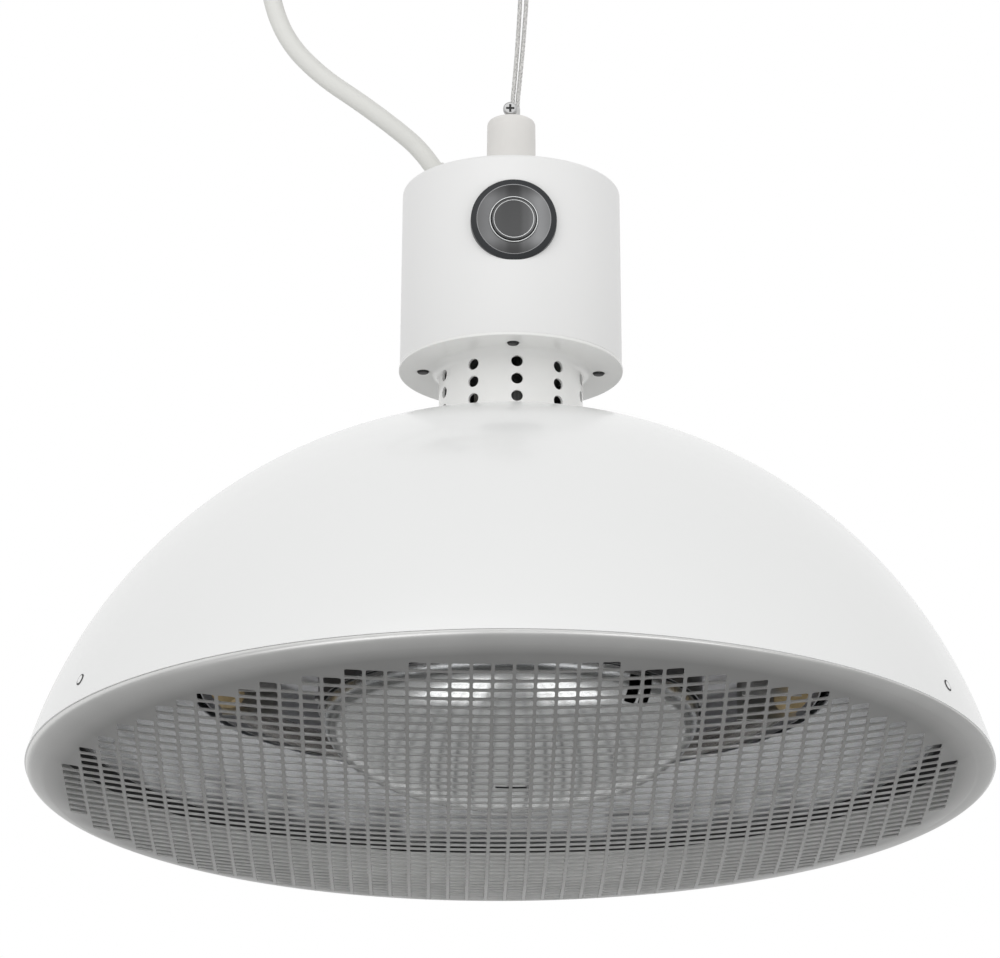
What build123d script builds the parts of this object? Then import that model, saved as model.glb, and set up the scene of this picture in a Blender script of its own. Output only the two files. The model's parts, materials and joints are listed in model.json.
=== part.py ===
from build123d import *
import math
import os

# Electric patio heater that hangs from a ceiling: a white sheet dome over ring lamps, with a
# perforated pan below, a vented collar and a control housing above, on a doubled wire rope.
#
# Sizes are in millimetres. The model is drawn with z = 0 at the dome's rim and is lowered at the
# end, so that the ceiling's face is at z = 0. The front, with the button, looks along -Y.

os.makedirs("parts", exist_ok=True)

# Clearances between pieces
slide_gap = 0.25
seat_gap = 0.05
link_gap = 0.3
sheet_gap = 0.4

# Dome
dome_rim_radius = 212.5
dome_rise = 159.0
dome_sheet = 1.0
dome_top_hole_radius = 24.0
dome_sphere_radius = (dome_rim_radius**2 + dome_rise**2) / (2 * dome_rise)
dome_centre_z = dome_rise - dome_sphere_radius
dome_inner_sphere_radius = dome_sphere_radius - dome_sheet

# Grille pan: a bulged perforated sheet with a rolled edge and a wall inside the dome
pan_sheet = 0.8
pan_depth = 23.0
pan_bulge_radius = 1165.0
pan_wall_height = 18.0
pan_roll_radius = 4.5
pan_rim_margin = 1.1
window_pitch = 26.565
window_bar = 4.2
pattern_margin = 16.5
rivet_height = 11.2
rivet_azimuth = 61.4
rivet_head_radius = 2.6
rivet_head_height = 1.1
rivet_shank_radius = 1.6

# Vent collar: a tube with a flange that closes the housing from below
collar_radius = 32.2
collar_wall = 1.2
flange_radius = 50.2
flange_thickness = 1.4
collar_height = 29.156
flange_fillet = 4.0
vent_columns = 10
vent_rows = 3
vent_row_pitch = 8.1
vent_top_drop = 5.8
vent_hole_radius = 2.6
vent_turn = 3.5
flange_screw_circle = 39.3
flange_screw_radius = 1.5
flange_screw_head_radius = 2.6
flange_screw_head_height = 1.6
flange_screw_length = 13.0
flange_recess_depth = 0.9

# Housing
housing_bottom_radius = 49.75
housing_top_radius = 48.9
housing_height = 84.7
housing_wall = 2.2
housing_edge_fillet = 2.4
boss_radius = 4.6
boss_length = 16.0

# Control lens and button, on the housing's front
lens_radius = 19.2
lens_drop = 31.7
lens_thickness = 3.2
lens_bevel = 2.4
lens_dish_depth = 0.7
lens_spigot_radius = 17.0
button_ring_radius = 10.9
button_ring_wall = 0.65
button_radius = 9.9
button_length = 8.0
button_proud = 0.9
button_travel = 1.2
button_flange = 1.6
button_flange_thickness = 1.4
spring_wire = 0.6
spring_radius = 4.2
spring_turns = 3
switch_size = 5.0
switch_height = 3.4

# Control board and the parts on it
board_width = 68.0
board_foot_gap = 21.35
board_head_gap = 5.15
board_thickness = 1.6
board_distance = 25.0
board_screw_inset = 6.0
rail_depth = 3.5
relay_size = (19.0, 15.5, 15.0)
terminal_size = (30.0, 14.0, 12.0)

# Stem and its nuts
stem_radius = 5.0
stem_bore_radius = 3.2
stem_tail = 10.0
nut_across_flats = 16.0
nut_height = 6.0
washer_radius = 11.0
washer_thickness = 1.5

# Clamp bridge, heat shield and spider
bridge_radius = 42.0
bridge_thickness = 2.0
bridge_windows = 6
bridge_window_radius = 4.5
bridge_window_circle = 15.5
shield_radius = 108.0
shield_sheet = 0.8
shield_below_bridge = 32.9
shield_drop = 6.0
cutout_radius = 8.0
cutout_height = 9.0
cutout_distance = 34.0
lead_distance = 14.5
lead_radius = 2.0
spider_hub_radius = 24.0
spider_below_shield = 19.0
spider_thickness = 1.5
spider_arm_width = 14.0
spider_arms = 4

# Lamp channel, outer reflector and central reflector
channel_inner_radius = 84.0
channel_outer_radius = 137.0
channel_below_spider = 26.0
channel_depth = 36.0
channel_sheet = 0.6
channel_corner = 13.0
skirt_gap = 4.0
skirt_drop = 18.0
skirt_rim_gap = 23.5
skirt_sheet = 0.7
skirt_lip = 4.0
bowl_gap = 1.0
bowl_below_channel = 12.0
bowl_over_pan = 11.0
bowl_sheet = 0.7
bowl_neck_height = 10.0
bowl_slot_width = 13.0
bowl_slot_distance = 33.0
rivet_shaft_radius = 1.5
rivet_flange_radius = 2.8

# Ring lamps
lamp_circle = 125.0
lamp_drop = 34.0
lamp_tube_radius = 5.0
lamp_tube_wall = 0.9
lamp_end_angle = 12.5
filament_radius = 1.0
cap_radius = 6.6
cap_length = 17.0
holder_sheet = 1.2
holder_width = 22.0
holder_length = 40.0
holder_inset = 13.0

# Suspension cap, stud and rope
cap_bottom_radius = 11.2
cap_top_radius = 10.9
cap_height = 34.8
cap_wall = 1.9
cap_fillet = 2.6
stud_radius = 3.0
stud_height = 6.5
stud_offset = 1.0
rope_screw_radius = 1.2
rope_screw_head_radius = 3.0
rope_screw_head_height = 2.2
rope_screw_offset = -0.6
rope_diameter = 2.0
rope_spacing = 2.3
rope_offset = 1.55

# Quick link, ceiling eye and ceiling plate
link_wire_radius = 2.5
link_inner_width = 13.0
link_inner_length = 33.0
link_nut_radius = 4.6
link_nut_length = 12.0
rope_reach = 198.2
eye_wire_radius = 3.0
eye_ring_radius = 12.0
plate_radius = 34.0
plate_thickness = 4.0
plate_boss_radius = 9.0
plate_boss_height = 3.0
plate_hole_radius = 2.5
plate_hole_circle = 25.0
plate_holes = 3

# Power cord, its gland, coil and plug
cord_diameter = 8.4
gland_x = -27.0
gland_y = 22.0
gland_radius = 7.6
gland_flange_height = 3.0
relief_tip_radius = 5.2
gland_nut_height = 5.0
coil_centre_x = -41.5
coil_height = 171.05
coil_inner_turn = 41.75
coil_layers = 3
coil_rings = 2
coil_front_y = 1.6
tie_width = 12.0
tie_thickness = 1.2
tie_slack = 0.6
tie_corner = 3.4
plug_radius = 19.5
plug_thickness = 20.0
pin_radius = 2.4
pin_length = 19.0
pin_spacing = 19.0
plug_neck_radius = 6.6
plug_neck_length = 22.0



def dome_height_at(radius, inset=0.0):
    """Height of the dome's outer face above a radius, or of a face inset from it."""
    return dome_centre_z + math.sqrt((dome_sphere_radius - inset) ** 2 - radius**2)


# Places above the dome that follow from the sizes
flange_bottom_z = dome_height_at(collar_radius) + collar_height
flange_top_z = flange_bottom_z + flange_thickness
housing_bottom_z = flange_top_z + seat_gap
housing_top_z = housing_bottom_z + housing_height
lens_height_z = housing_top_z - lens_drop
board_bottom_z = housing_bottom_z + board_foot_gap
board_top_z = housing_top_z - housing_wall - board_head_gap
board_height = board_top_z - board_bottom_z
board_middle_z = (board_bottom_z + board_top_z) / 2
cap_bottom_z = housing_top_z + seat_gap
cap_top_z = cap_bottom_z + cap_height
link_bottom_z = cap_top_z + rope_reach
link_top_z = link_bottom_z + link_inner_length + 2 * link_wire_radius
eye_wire_z = link_top_z - link_wire_radius - link_gap - eye_wire_radius
eye_centre_z = eye_wire_z + eye_ring_radius
plate_bottom_z = eye_centre_z + eye_ring_radius + eye_wire_radius + plate_boss_height
ceiling_z = plate_bottom_z + plate_thickness
coil_centre_z = housing_top_z + coil_height
coil_outer_turn = coil_inner_turn + (coil_rings - 1) * cord_diameter
coil_back_y = coil_front_y + coil_layers * cord_diameter

# Places inside the dome: each piece hangs from the one above it on the stem
bridge_bottom_z = dome_height_at(bridge_radius, dome_sheet) - seat_gap - bridge_thickness
shield_z = bridge_bottom_z - shield_below_bridge
spider_z = shield_z - spider_below_shield
stem_bottom_z = spider_z - stem_tail
channel_top_z = spider_z - channel_below_spider
channel_bottom_z = channel_top_z - channel_depth
channel_middle_radius = (channel_inner_radius + channel_outer_radius) / 2
skirt_inner_radius = channel_outer_radius + skirt_gap
skirt_inner_z = channel_bottom_z
skirt_outer_radius = dome_rim_radius - skirt_rim_gap
skirt_outer_z = skirt_inner_z - skirt_drop
bowl_radius = channel_inner_radius - bowl_gap
bowl_rim_z = channel_bottom_z - bowl_below_channel
bowl_depth = bowl_rim_z + pan_depth - bowl_over_pan
lamp_z = channel_top_z - lamp_drop
holder_x = lamp_circle - holder_inset
lead_drop_x = holder_x - 2.0
pattern_radius = dome_rim_radius - pattern_margin


def disc(radius, bottom, top, x=0.0, y=0.0):
    """An upright cylinder between two heights."""
    return Pos(x, y, (bottom + top) / 2) * Cylinder(radius, top - bottom)


def tube(outer, inner, bottom, top, x=0.0, y=0.0):
    return disc(outer, bottom, top, x, y) - disc(inner, bottom - 1, top + 1, x, y)


def facing(radius, near, far, x, z):
    """A cylinder along Y from the near depth to the far one."""
    return Pos(x, (near + far) / 2, z) * Rot(90, 0, 0) * Cylinder(radius, abs(far - near))


def turned(profile):
    """The solid of revolution about Z of a closed profile, drawn as x for radius and z."""
    return revolve(make_face(Plane.XZ * profile), Axis.Z)


def turned_sheet(points, radii, thickness, side=Side.RIGHT):
    """Sheet of one thickness turned about Z, along a line of (radius, z) points."""
    line = FilletPolyline(*points, radius=radii) if len(points) > 2 else Line(*points)
    outline = offset(line, amount=thickness, side=side)
    return revolve(Plane.XZ * make_face(outline), Axis.Z)


def around(piece, count, first=0.0):
    """Copies of a piece, evenly turned about Z."""
    return [Rot(0, 0, first + i * 360 / count) * piece for i in range(count)]


def hexagon(across_flats, bottom, top, bore):
    outline = RegularPolygon(across_flats / 2, 6, major_radius=False)
    body = Pos(0, 0, bottom) * extrude(outline, top - bottom)
    return body - disc(bore, bottom - 1, top + 1)


def dome_sphere(radius):
    return Pos(0, 0, dome_centre_z) * Sphere(radius)


def rivet_spots():
    """Azimuths of the four rim rivets, counted from the front."""
    angles = (rivet_azimuth, 180 - rivet_azimuth)
    return [side * angle for side in (1, -1) for angle in angles]


def rivet_axis(azimuth):
    """A frame on the dome's surface at a rivet, with z pointing out of the dome."""
    lean = math.degrees(math.asin((rivet_height - dome_centre_z) / dome_sphere_radius))
    return Rot(0, 0, azimuth - 90) * Pos(0, 0, dome_centre_z) * Rot(0, 90 - lean, 0)


def make_shade():
    shell = dome_sphere(dome_sphere_radius) - dome_sphere(dome_inner_sphere_radius)
    above = disc(dome_sphere_radius, 0, dome_sphere_radius)
    shell = (shell & above) - disc(dome_top_hole_radius, 0, dome_sphere_radius)
    for azimuth in rivet_spots():
        shell -= rivet_axis(azimuth) * Pos(0, 0, dome_sphere_radius) * Cylinder(
            rivet_shank_radius + seat_gap, 12)
    return shell


def pan_outer_sphere():
    return dome_inner_sphere_radius - sheet_gap


def pan_rim_radius():
    """Radius of the pan's wall at the height of the dome's rim."""
    return math.sqrt(pan_outer_sphere() ** 2 - dome_centre_z**2)


def pan_profile(inset):
    """Closed face of the pan's section on its lower side, inset by a thickness."""
    top_r = math.sqrt(pan_outer_sphere() ** 2 - (pan_wall_height - dome_centre_z) ** 2)
    slope = (pan_rim_radius() - top_r) / pan_wall_height
    corner_r = pan_rim_radius() + pan_rim_margin
    corner_z = -(corner_r - pan_rim_radius()) / slope
    across = inset * math.sqrt(1 + slope**2)
    bulge = pan_bulge_radius - inset
    centre_z = pan_bulge_radius - pan_depth

    def bulge_z(radius):
        return centre_z - math.sqrt(bulge**2 - radius**2)

    foot = (corner_r - across, bulge_z(corner_r - across))
    middle = (foot[0] / 2, bulge_z(foot[0] / 2))
    start = (0, bulge_z(0))
    rim = (top_r - across, pan_wall_height)
    outline = ThreePointArc(start, middle, foot) + Line(foot, rim)
    outline += Line(rim, (0, pan_wall_height)) + Line((0, pan_wall_height), start)
    face = make_face(outline)
    corner = sorted(face.vertices(), key=lambda v: abs(v.X - foot[0]) + abs(v.Y - foot[1]))[0]
    return fillet(corner, pan_roll_radius - inset)


def pan_windows():
    """Square windows in a straight grid, inside a circle."""
    half = (window_pitch - window_bar) / 2
    reach = int(pattern_radius / window_pitch) + 1
    places = []
    for i in range(-reach, reach + 1):
        for j in range(-reach, reach + 1):
            x = abs(i) * window_pitch + half
            y = abs(j) * window_pitch + half
            if math.hypot(x, y) <= pattern_radius:
                places.append((i * window_pitch, j * window_pitch))
    cutter = Box(2 * half, 2 * half, 2 * pan_depth)
    return [Pos(x, y, -pan_depth / 2) * cutter for x, y in places]


def make_grille_pan():
    outside = revolve(Plane.XZ * pan_profile(0), Axis.Z)
    inside = revolve(Plane.XZ * pan_profile(pan_sheet), Axis.Z)
    pan = outside - inside - pan_windows()
    for azimuth in rivet_spots():
        pan -= rivet_axis(azimuth) * Pos(0, 0, dome_sphere_radius) * Cylinder(
            rivet_shank_radius + seat_gap, 12)
    return pan


def make_rim_rivets():
    shank_bottom = pan_outer_sphere() - pan_sheet - 1.6
    rivet = Pos(0, 0, dome_sphere_radius + seat_gap) * (
        Sphere(rivet_head_radius) & Pos(0, 0, rivet_head_radius / 2) * Box(
            2 * rivet_head_radius, 2 * rivet_head_radius, rivet_head_radius))
    shank_length = dome_sphere_radius + seat_gap + 0.2 - shank_bottom
    rivet += Pos(0, 0, shank_bottom + shank_length / 2) * Cylinder(
        rivet_shank_radius - seat_gap, shank_length)
    return [rivet_axis(azimuth) * rivet for azimuth in rivet_spots()]


def make_vent_collar():
    inner = collar_radius - collar_wall
    foot = flange_bottom_z - collar_height - 4 * collar_wall
    outline = Polyline(
        (inner, foot), (collar_radius, foot), (collar_radius, flange_bottom_z),
        (flange_radius, flange_bottom_z), (flange_radius, flange_top_z), (inner, flange_top_z),
        close=True)
    face = make_face(outline)
    root = [v for v in face.vertices()
            if abs(v.X - collar_radius) < 0.01 and abs(v.Y - flange_bottom_z) < 0.01]
    collar = revolve(Plane.XZ * fillet(root, flange_fillet), Axis.Z)
    # The foot follows the dome that it stands on
    collar -= dome_sphere(dome_sphere_radius + seat_gap)
    drill = Pos(0, -collar_radius, 0) * Rot(90, 0, 0) * Cylinder(vent_hole_radius, 4 * flange_fillet)
    for row in range(vent_rows):
        lifted = Pos(0, 0, flange_bottom_z - vent_top_drop - row * vent_row_pitch) * drill
        collar -= around(lifted, vent_columns, vent_turn)
    hole = disc(flange_screw_radius + seat_gap, flange_bottom_z - 1, flange_top_z + 1,
                0, -flange_screw_circle)
    recess = disc(flange_screw_head_radius + slide_gap, flange_bottom_z - 1,
                  flange_bottom_z + flange_recess_depth, 0, -flange_screw_circle)
    collar -= around(hole + recess, 4)
    return collar


def make_flange_screws():
    seat = flange_bottom_z + flange_recess_depth - seat_gap
    head = disc(flange_screw_head_radius, seat - flange_screw_head_height, seat)
    head -= Pos(0, 0, seat - flange_screw_head_height) * Box(3.4, 0.8, 1.4)
    head -= Pos(0, 0, seat - flange_screw_head_height) * Box(0.8, 3.4, 1.4)
    screw = head + disc(flange_screw_radius - seat_gap, seat - 0.1, seat + flange_screw_length)
    return around(Pos(0, -flange_screw_circle, 0) * screw, 4)


def housing_radius(z):
    """Outer radius of the tapered housing at a height."""
    share = (z - housing_bottom_z) / housing_height
    return housing_bottom_radius + share * (housing_top_radius - housing_bottom_radius)


def make_housing():
    wall = housing_wall
    outline = Polyline(
        (0, housing_bottom_z), (housing_bottom_radius, housing_bottom_z),
        (housing_top_radius, housing_top_z), (0, housing_top_z), close=True)
    face = make_face(outline)
    edge = [v for v in face.vertices() if v.Y > housing_top_z - 0.01 and v.X > 1]
    body = revolve(Plane.XZ * fillet(edge, housing_edge_fillet), Axis.Z)
    hollow = Polyline(
        (0, housing_bottom_z - 1), (housing_radius(housing_bottom_z - 1) - wall, housing_bottom_z - 1),
        (housing_top_radius - wall, housing_top_z - wall), (0, housing_top_z - wall), close=True)
    body -= revolve(Plane.XZ * make_face(hollow), Axis.Z)
    # Screw posts stand inside and take the flange screws
    post = disc(boss_radius, housing_bottom_z, housing_bottom_z + boss_length, 0, -flange_screw_circle)
    post += Pos(0, -(flange_screw_circle + housing_bottom_radius - wall / 2) / 2,
                housing_bottom_z + boss_length / 2) * Box(
        2.0, housing_bottom_radius - wall / 2 - flange_screw_circle, boss_length)
    outside = Pos(0, 0, housing_bottom_z) * extrude(Circle(housing_bottom_radius - wall / 2), boss_length)
    for one in around(post, 4):
        body += one & outside
    drill = disc(flange_screw_radius + seat_gap / 2, housing_bottom_z - 1,
                 housing_bottom_z + boss_length - 1.5, 0, -flange_screw_circle)
    body -= around(drill, 4)
    # Rails hold the control board
    for side in (-1, 1):
        rail = Pos(side * (board_width / 2 + rail_depth), board_y() + board_thickness / 2,
                   board_middle_z)
        block = Box(4 * rail_depth, board_thickness + 4.0, board_height - 8.0)
        slot = Pos(-side * rail_depth, 0, 0) * Box(
            2 * (rail_depth + seat_gap), board_thickness + 2 * seat_gap, board_height)
        body += (rail * (block - slot)) & inside_of_housing()
    body -= disc(stem_radius + seat_gap, housing_top_z - 2 * wall, housing_top_z + 1)
    body -= disc(gland_bore_radius(), housing_top_z - 2 * wall, housing_top_z + 1, gland_x, gland_y)
    body -= facing(lens_spigot_radius + seat_gap, -housing_bottom_radius - 2,
                   -housing_bottom_radius + 14, 0, lens_height_z)
    return body


def inside_of_housing():
    """The housing's outer form, slightly shrunk, as a limit for what joins its wall."""
    outline = Polyline(
        (0, housing_bottom_z), (housing_bottom_radius - housing_wall / 2, housing_bottom_z),
        (housing_top_radius - housing_wall / 2, housing_top_z), (0, housing_top_z), close=True)
    return revolve(Plane.XZ * make_face(outline), Axis.Z)


def board_y():
    """Depth of the control board's front face."""
    return -housing_radius(lens_height_z) + board_distance


def gland_bore_radius():
    return cord_diameter / 2 + 1.6


def lens_front_y():
    """Depth of the lens's front rim."""
    return -housing_radius(lens_height_z) - 1.0


def make_control_lens():
    front = lens_front_y()
    lens = facing(lens_radius, front, front + lens_thickness + 5.0, 0, lens_height_z)
    front_edge = lens.edges().sort_by(Axis.Y)[0]
    lens = chamfer(front_edge, lens_bevel * 0.35, lens_bevel)
    # The back lies on the round housing
    housing_form = revolve(Plane.XZ * make_face(Polyline(
        (0, housing_bottom_z), (housing_bottom_radius + seat_gap, housing_bottom_z),
        (housing_top_radius + seat_gap, housing_top_z), (0, housing_top_z), close=True)), Axis.Z)
    lens -= housing_form
    spigot = facing(lens_spigot_radius - seat_gap, front + 1.5,
                    -housing_radius(lens_height_z) + housing_wall + 4.0, 0, lens_height_z)
    lens += spigot
    dish_radius = (lens_radius**2 + lens_dish_depth**2) / (2 * lens_dish_depth)
    dish_offset = front + lens_dish_depth * 0.8 - dish_radius
    lens -= Pos(0, dish_offset, lens_height_z) * Sphere(dish_radius)
    lens -= facing(button_radius + slide_gap, front - 3, front + 20, 0, lens_height_z)
    lens -= facing(button_ring_radius + seat_gap, front - 3, front + 1.0 + seat_gap, 0, lens_height_z)
    lens -= facing(button_radius + button_flange + slide_gap, spring_seat_y() - button_length,
                   front + 20, 0, lens_height_z) & facing(
        button_radius + button_flange + slide_gap, stop_y(), front + 20, 0, lens_height_z)
    return lens


def stop_y():
    """Depth of the step that the button's flange rests against."""
    return lens_front_y() + 3.4


def spring_seat_y():
    """Depth of the back of the button's flange."""
    return stop_y() + seat_gap + button_flange_thickness


def make_button_ring():
    front = lens_front_y() - 0.1
    ring = facing(button_ring_radius, front, front + 1.1, 0, lens_height_z)
    ring -= facing(button_ring_radius - button_ring_wall, front - 1, front + 2, 0, lens_height_z)
    return ring


def make_power_button():
    front = lens_front_y() - button_proud
    button = facing(button_radius, front, spring_seat_y(), 0, lens_height_z)
    rim = button.edges().sort_by(Axis.Y)[0]
    button = fillet(rim, 0.5)
    button += facing(button_radius + button_flange, stop_y() + seat_gap, spring_seat_y(),
                     0, lens_height_z)
    dish = 90.0
    button -= Pos(0, front + 0.35 - dish, lens_height_z) * Sphere(dish)
    # A blind hole at the back takes the plunger of the switch
    button -= facing(spring_radius + 1.5, spring_seat_y() - 2.5, spring_seat_y() + 1, 0, lens_height_z)
    button += facing(1.6, spring_seat_y() - 3.0, switch_face_y() - button_travel - 0.2, 0, lens_height_z)
    return button


def switch_face_y():
    return board_y() - switch_height - 0.6


def make_button_spring():
    start = spring_seat_y() - 2.5 + seat_gap
    length = board_y() - seat_gap - start
    pitch = (length - 2 * spring_wire) / spring_turns
    path = Helix(pitch, length - spring_wire, spring_radius)
    section = Plane(origin=path @ 0, z_dir=path % 0) * Circle(spring_wire / 2)
    coil = sweep(section, path=path)
    place = Pos(0, start + spring_wire / 2, lens_height_z) * Rot(-90, 0, 0)
    return place * coil


def make_control_board():
    middle = Pos(0, board_y() + board_thickness / 2, board_middle_z)
    board = middle * Box(board_width, board_thickness, board_height)
    for x in (-1, 1):
        for z in (-1, 1):
            spot = Pos(x * (board_width / 2 - board_screw_inset), board_y(),
                       board_middle_z + z * (board_height / 2 - board_screw_inset))
            board -= spot * Rot(90, 0, 0) * Cylinder(1.6, 8)
    return board


def make_board_switch():
    body = Pos(0, board_y() - seat_gap - switch_height / 2, lens_height_z) * Box(
        switch_size, switch_height, switch_size)
    plunger = facing(1.7, board_y() - seat_gap - switch_height + 0.1, switch_face_y(), 0, lens_height_z)
    return body + plunger


def make_relay():
    w, d, h = relay_size
    back = board_y() + board_thickness + seat_gap
    block = Pos(-10, back + d / 2, board_middle_z + 12) * Box(w, d, h)
    return fillet(block.edges().filter_by(Axis.Y), 1.2)


def make_terminal_block():
    w, d, h = terminal_size
    back = board_y() + board_thickness + seat_gap
    block = Pos(0, back + d / 2, board_middle_z - 16) * Box(w, d, h)
    for i in range(3):
        spot = Pos((i - 1) * w / 3.2, back + d / 2, board_middle_z - 16 - h / 2)
        block -= spot * Cylinder(2.6, 14)
    return block


def make_stem():
    top = cap_top_z - cap_wall - 3.0
    stem = tube(stem_radius, stem_bore_radius, stem_bottom_z, top)
    return stem


def stem_nut(bottom):
    return hexagon(nut_across_flats, bottom, bottom + nut_height, stem_radius + seat_gap / 2)


def nut_heights():
    """Bottom heights of the stem's nuts, each against what it holds."""
    return [
        spider_z - seat_gap - washer_thickness - seat_gap - nut_height,
        spider_z + spider_thickness + seat_gap,
        shield_z - seat_gap - nut_height,
        shield_z + shield_sheet + seat_gap,
        bridge_bottom_z - seat_gap - washer_thickness - seat_gap - nut_height,
        housing_top_z - housing_wall - seat_gap - washer_thickness - seat_gap - nut_height,
        housing_top_z + washer_thickness + 2 * seat_gap,
    ]


def make_stem_nuts():
    return [stem_nut(bottom) for bottom in nut_heights()]


def make_stem_washers():
    bottoms = [
        spider_z - seat_gap - washer_thickness,
        bridge_bottom_z - seat_gap - washer_thickness,
        housing_top_z - housing_wall - seat_gap - washer_thickness,
    ]
    washers = [tube(washer_radius, stem_radius + seat_gap, b, b + washer_thickness) for b in bottoms]
    cap_inner = cap_bottom_radius - cap_wall
    bottom = housing_top_z + seat_gap
    washers.append(tube(cap_inner - slide_gap, stem_radius + seat_gap, bottom, bottom + washer_thickness))
    return washers


def make_clamp_bridge():
    bottom = bridge_bottom_z
    bridge = tube(bridge_radius, stem_radius + seat_gap, bottom, bottom + bridge_thickness)
    window = disc(bridge_window_radius, bottom - 1, bottom + bridge_thickness + 1,
                  bridge_window_circle, 0)
    return bridge - around(window, bridge_windows)


def make_heat_shield():
    points = [(stem_radius + seat_gap, shield_z), (shield_radius - 26, shield_z),
              (shield_radius, shield_z - shield_drop)]
    shield = turned_sheet(points, 18.0, shield_sheet, Side.LEFT)
    lead_hole = disc(lead_radius + 1.2, shield_z - 2, shield_z + 3, lead_distance, 0)
    return shield - around(lead_hole, 2)


def skirt_slope():
    return (skirt_inner_z - skirt_outer_z) / (skirt_outer_radius - skirt_inner_radius)


def skirt_top_z(radius):
    """Height of the outer reflector's upper face at a radius."""
    lift = skirt_sheet * math.sqrt(1 + skirt_slope() ** 2)
    return skirt_inner_z - (radius - skirt_inner_radius) * skirt_slope() + lift


def make_outer_reflector():
    points = [(skirt_inner_radius, skirt_inner_z + skirt_lip), (skirt_inner_radius, skirt_inner_z),
              (skirt_outer_radius, skirt_outer_z), (skirt_outer_radius + skirt_lip, skirt_outer_z + 1.5)]
    return turned_sheet(points, 1.6, skirt_sheet, Side.LEFT)


def make_lamp_channel():
    points = [(channel_inner_radius, bowl_rim_z + 2.0), (channel_inner_radius, channel_top_z),
              (channel_outer_radius, channel_top_z), (channel_outer_radius, channel_bottom_z)]
    channel = turned_sheet(points, channel_corner, channel_sheet, Side.RIGHT)
    low = channel_top_z - 4
    high = channel_top_z + 4
    for side in (-1, 1):
        channel -= disc(lead_radius + 0.6, low, high, side * lead_drop_x, 0)
        for y in (-1, 1):
            channel -= disc(1.8, low, high, side * holder_x, y * holder_screw_y())
    hole = disc(rivet_shaft_radius + seat_gap, low, high, channel_middle_radius, 0)
    channel -= around(hole, spider_arms, 45)
    return channel - bowl_pins(rivet_shaft_radius + seat_gap)


def holder_screw_y():
    return holder_length / 2 - 12.0


def half_spheroid(radius, depth):
    """The lower half of a flattened ball, hanging from z = 0."""
    steps = [math.radians(15 * i) for i in range(7)]
    points = [(radius * math.sin(a), -depth * math.cos(a)) for a in steps]
    curve = Spline(*points, tangents=[(1, 0), (0, 1)])
    face = make_face(curve + Line(points[-1], (0, 0)) + Line((0, 0), points[0]))
    return revolve(Plane.XZ * face, Axis.Z)


def make_central_reflector():
    """A half spheroid that closes the channel's middle, with a short neck at its rim."""
    a = bowl_radius
    bowl = half_spheroid(a, bowl_depth) - half_spheroid(a - bowl_sheet, bowl_depth - bowl_sheet)
    bowl = Pos(0, 0, bowl_rim_z) * bowl
    bowl += tube(a, a - bowl_sheet, bowl_rim_z - 0.01, bowl_rim_z + bowl_neck_height)
    # A thin slot near the lowest point lets the heat out
    slot = Box(bowl_slot_width, 2.2, 14.0)
    bowl -= Pos(0, bowl_slot_distance, bowl_rim_z - bowl_depth) * slot
    return bowl - bowl_pins(rivet_shaft_radius + seat_gap)


def bowl_pins(radius):
    """Pins through the neck of the central reflector and the channel's inner wall."""
    near = bowl_radius - bowl_sheet - 1.6
    far = channel_inner_radius + channel_sheet + 1.4
    height = bowl_rim_z + bowl_neck_height / 2 + 1.5
    pin = Pos((near + far) / 2, 0, height) * Rot(0, 90, 0) * Cylinder(radius, far - near)
    return around(pin, spider_arms, 0)


def make_bowl_rivets():
    return bowl_pins(rivet_shaft_radius)


def make_spider():
    hub = tube(spider_hub_radius, stem_radius + seat_gap, spider_z, spider_z + spider_thickness)
    seat_r = channel_middle_radius
    seat_z = channel_top_z + seat_gap
    half = channel_corner
    skirt_a = skirt_inner_radius + 9.0
    skirt_b = skirt_outer_radius - 6.0
    lift = 0.12
    points = [
        (spider_hub_radius - 4.0, spider_z), (spider_hub_radius + 26.0, spider_z),
        (seat_r - half, seat_z), (channel_outer_radius + 3.5, seat_z),
        (skirt_a, skirt_top_z(skirt_a) + lift), (skirt_b, skirt_top_z(skirt_b) + lift)]
    strip = offset(FilletPolyline(*points, radius=3.0), amount=spider_thickness, side=Side.LEFT)
    arm = extrude(Plane.XZ * make_face(strip), spider_arm_width / 2, both=True)
    arms = around(arm, spider_arms, 45)
    spider = hub
    for one in arms:
        spider += one
    spider -= disc(stem_radius + seat_gap, spider_z - 1, spider_z + 4)
    for x in (-1, 1):
        spider -= disc(lead_radius + 1.0, spider_z - 1, spider_z + 4, x * lead_distance, 0)
    hole = disc(1.6, channel_top_z - 2, channel_top_z + 6, seat_r, 0)
    return spider - around(hole, spider_arms, 45)


def make_channel_rivets():
    seat_r = channel_middle_radius
    bottom = channel_top_z - channel_sheet - 1.3
    top = channel_top_z + seat_gap + spider_thickness + 1.2
    rivet = disc(rivet_shaft_radius, bottom, top, seat_r, 0)
    rivet += disc(rivet_flange_radius, top - 1.2 + seat_gap, top, seat_r, 0)
    rivet += disc(rivet_flange_radius, bottom, bottom + 1.25, seat_r, 0)
    return around(rivet, spider_arms, 45)


def lamp_arc(start, sweep_angle, radius):
    """Part of the lamp circle as a swept round bar."""
    path = CenterArc((0, 0, lamp_z), lamp_circle, start, sweep_angle)
    section = Plane(origin=path @ 0, z_dir=path % 0) * Circle(radius)
    return sweep(section, path=path)


def make_lamp_tube(side):
    start = lamp_end_angle if side > 0 else 180 + lamp_end_angle
    length = 180 - 2 * lamp_end_angle
    return lamp_arc(start, length, lamp_tube_radius) - lamp_arc(
        start, length, lamp_tube_radius - lamp_tube_wall)


def make_filament(side):
    start = lamp_end_angle if side > 0 else 180 + lamp_end_angle
    return lamp_arc(start, 180 - 2 * lamp_end_angle, filament_radius)


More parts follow.
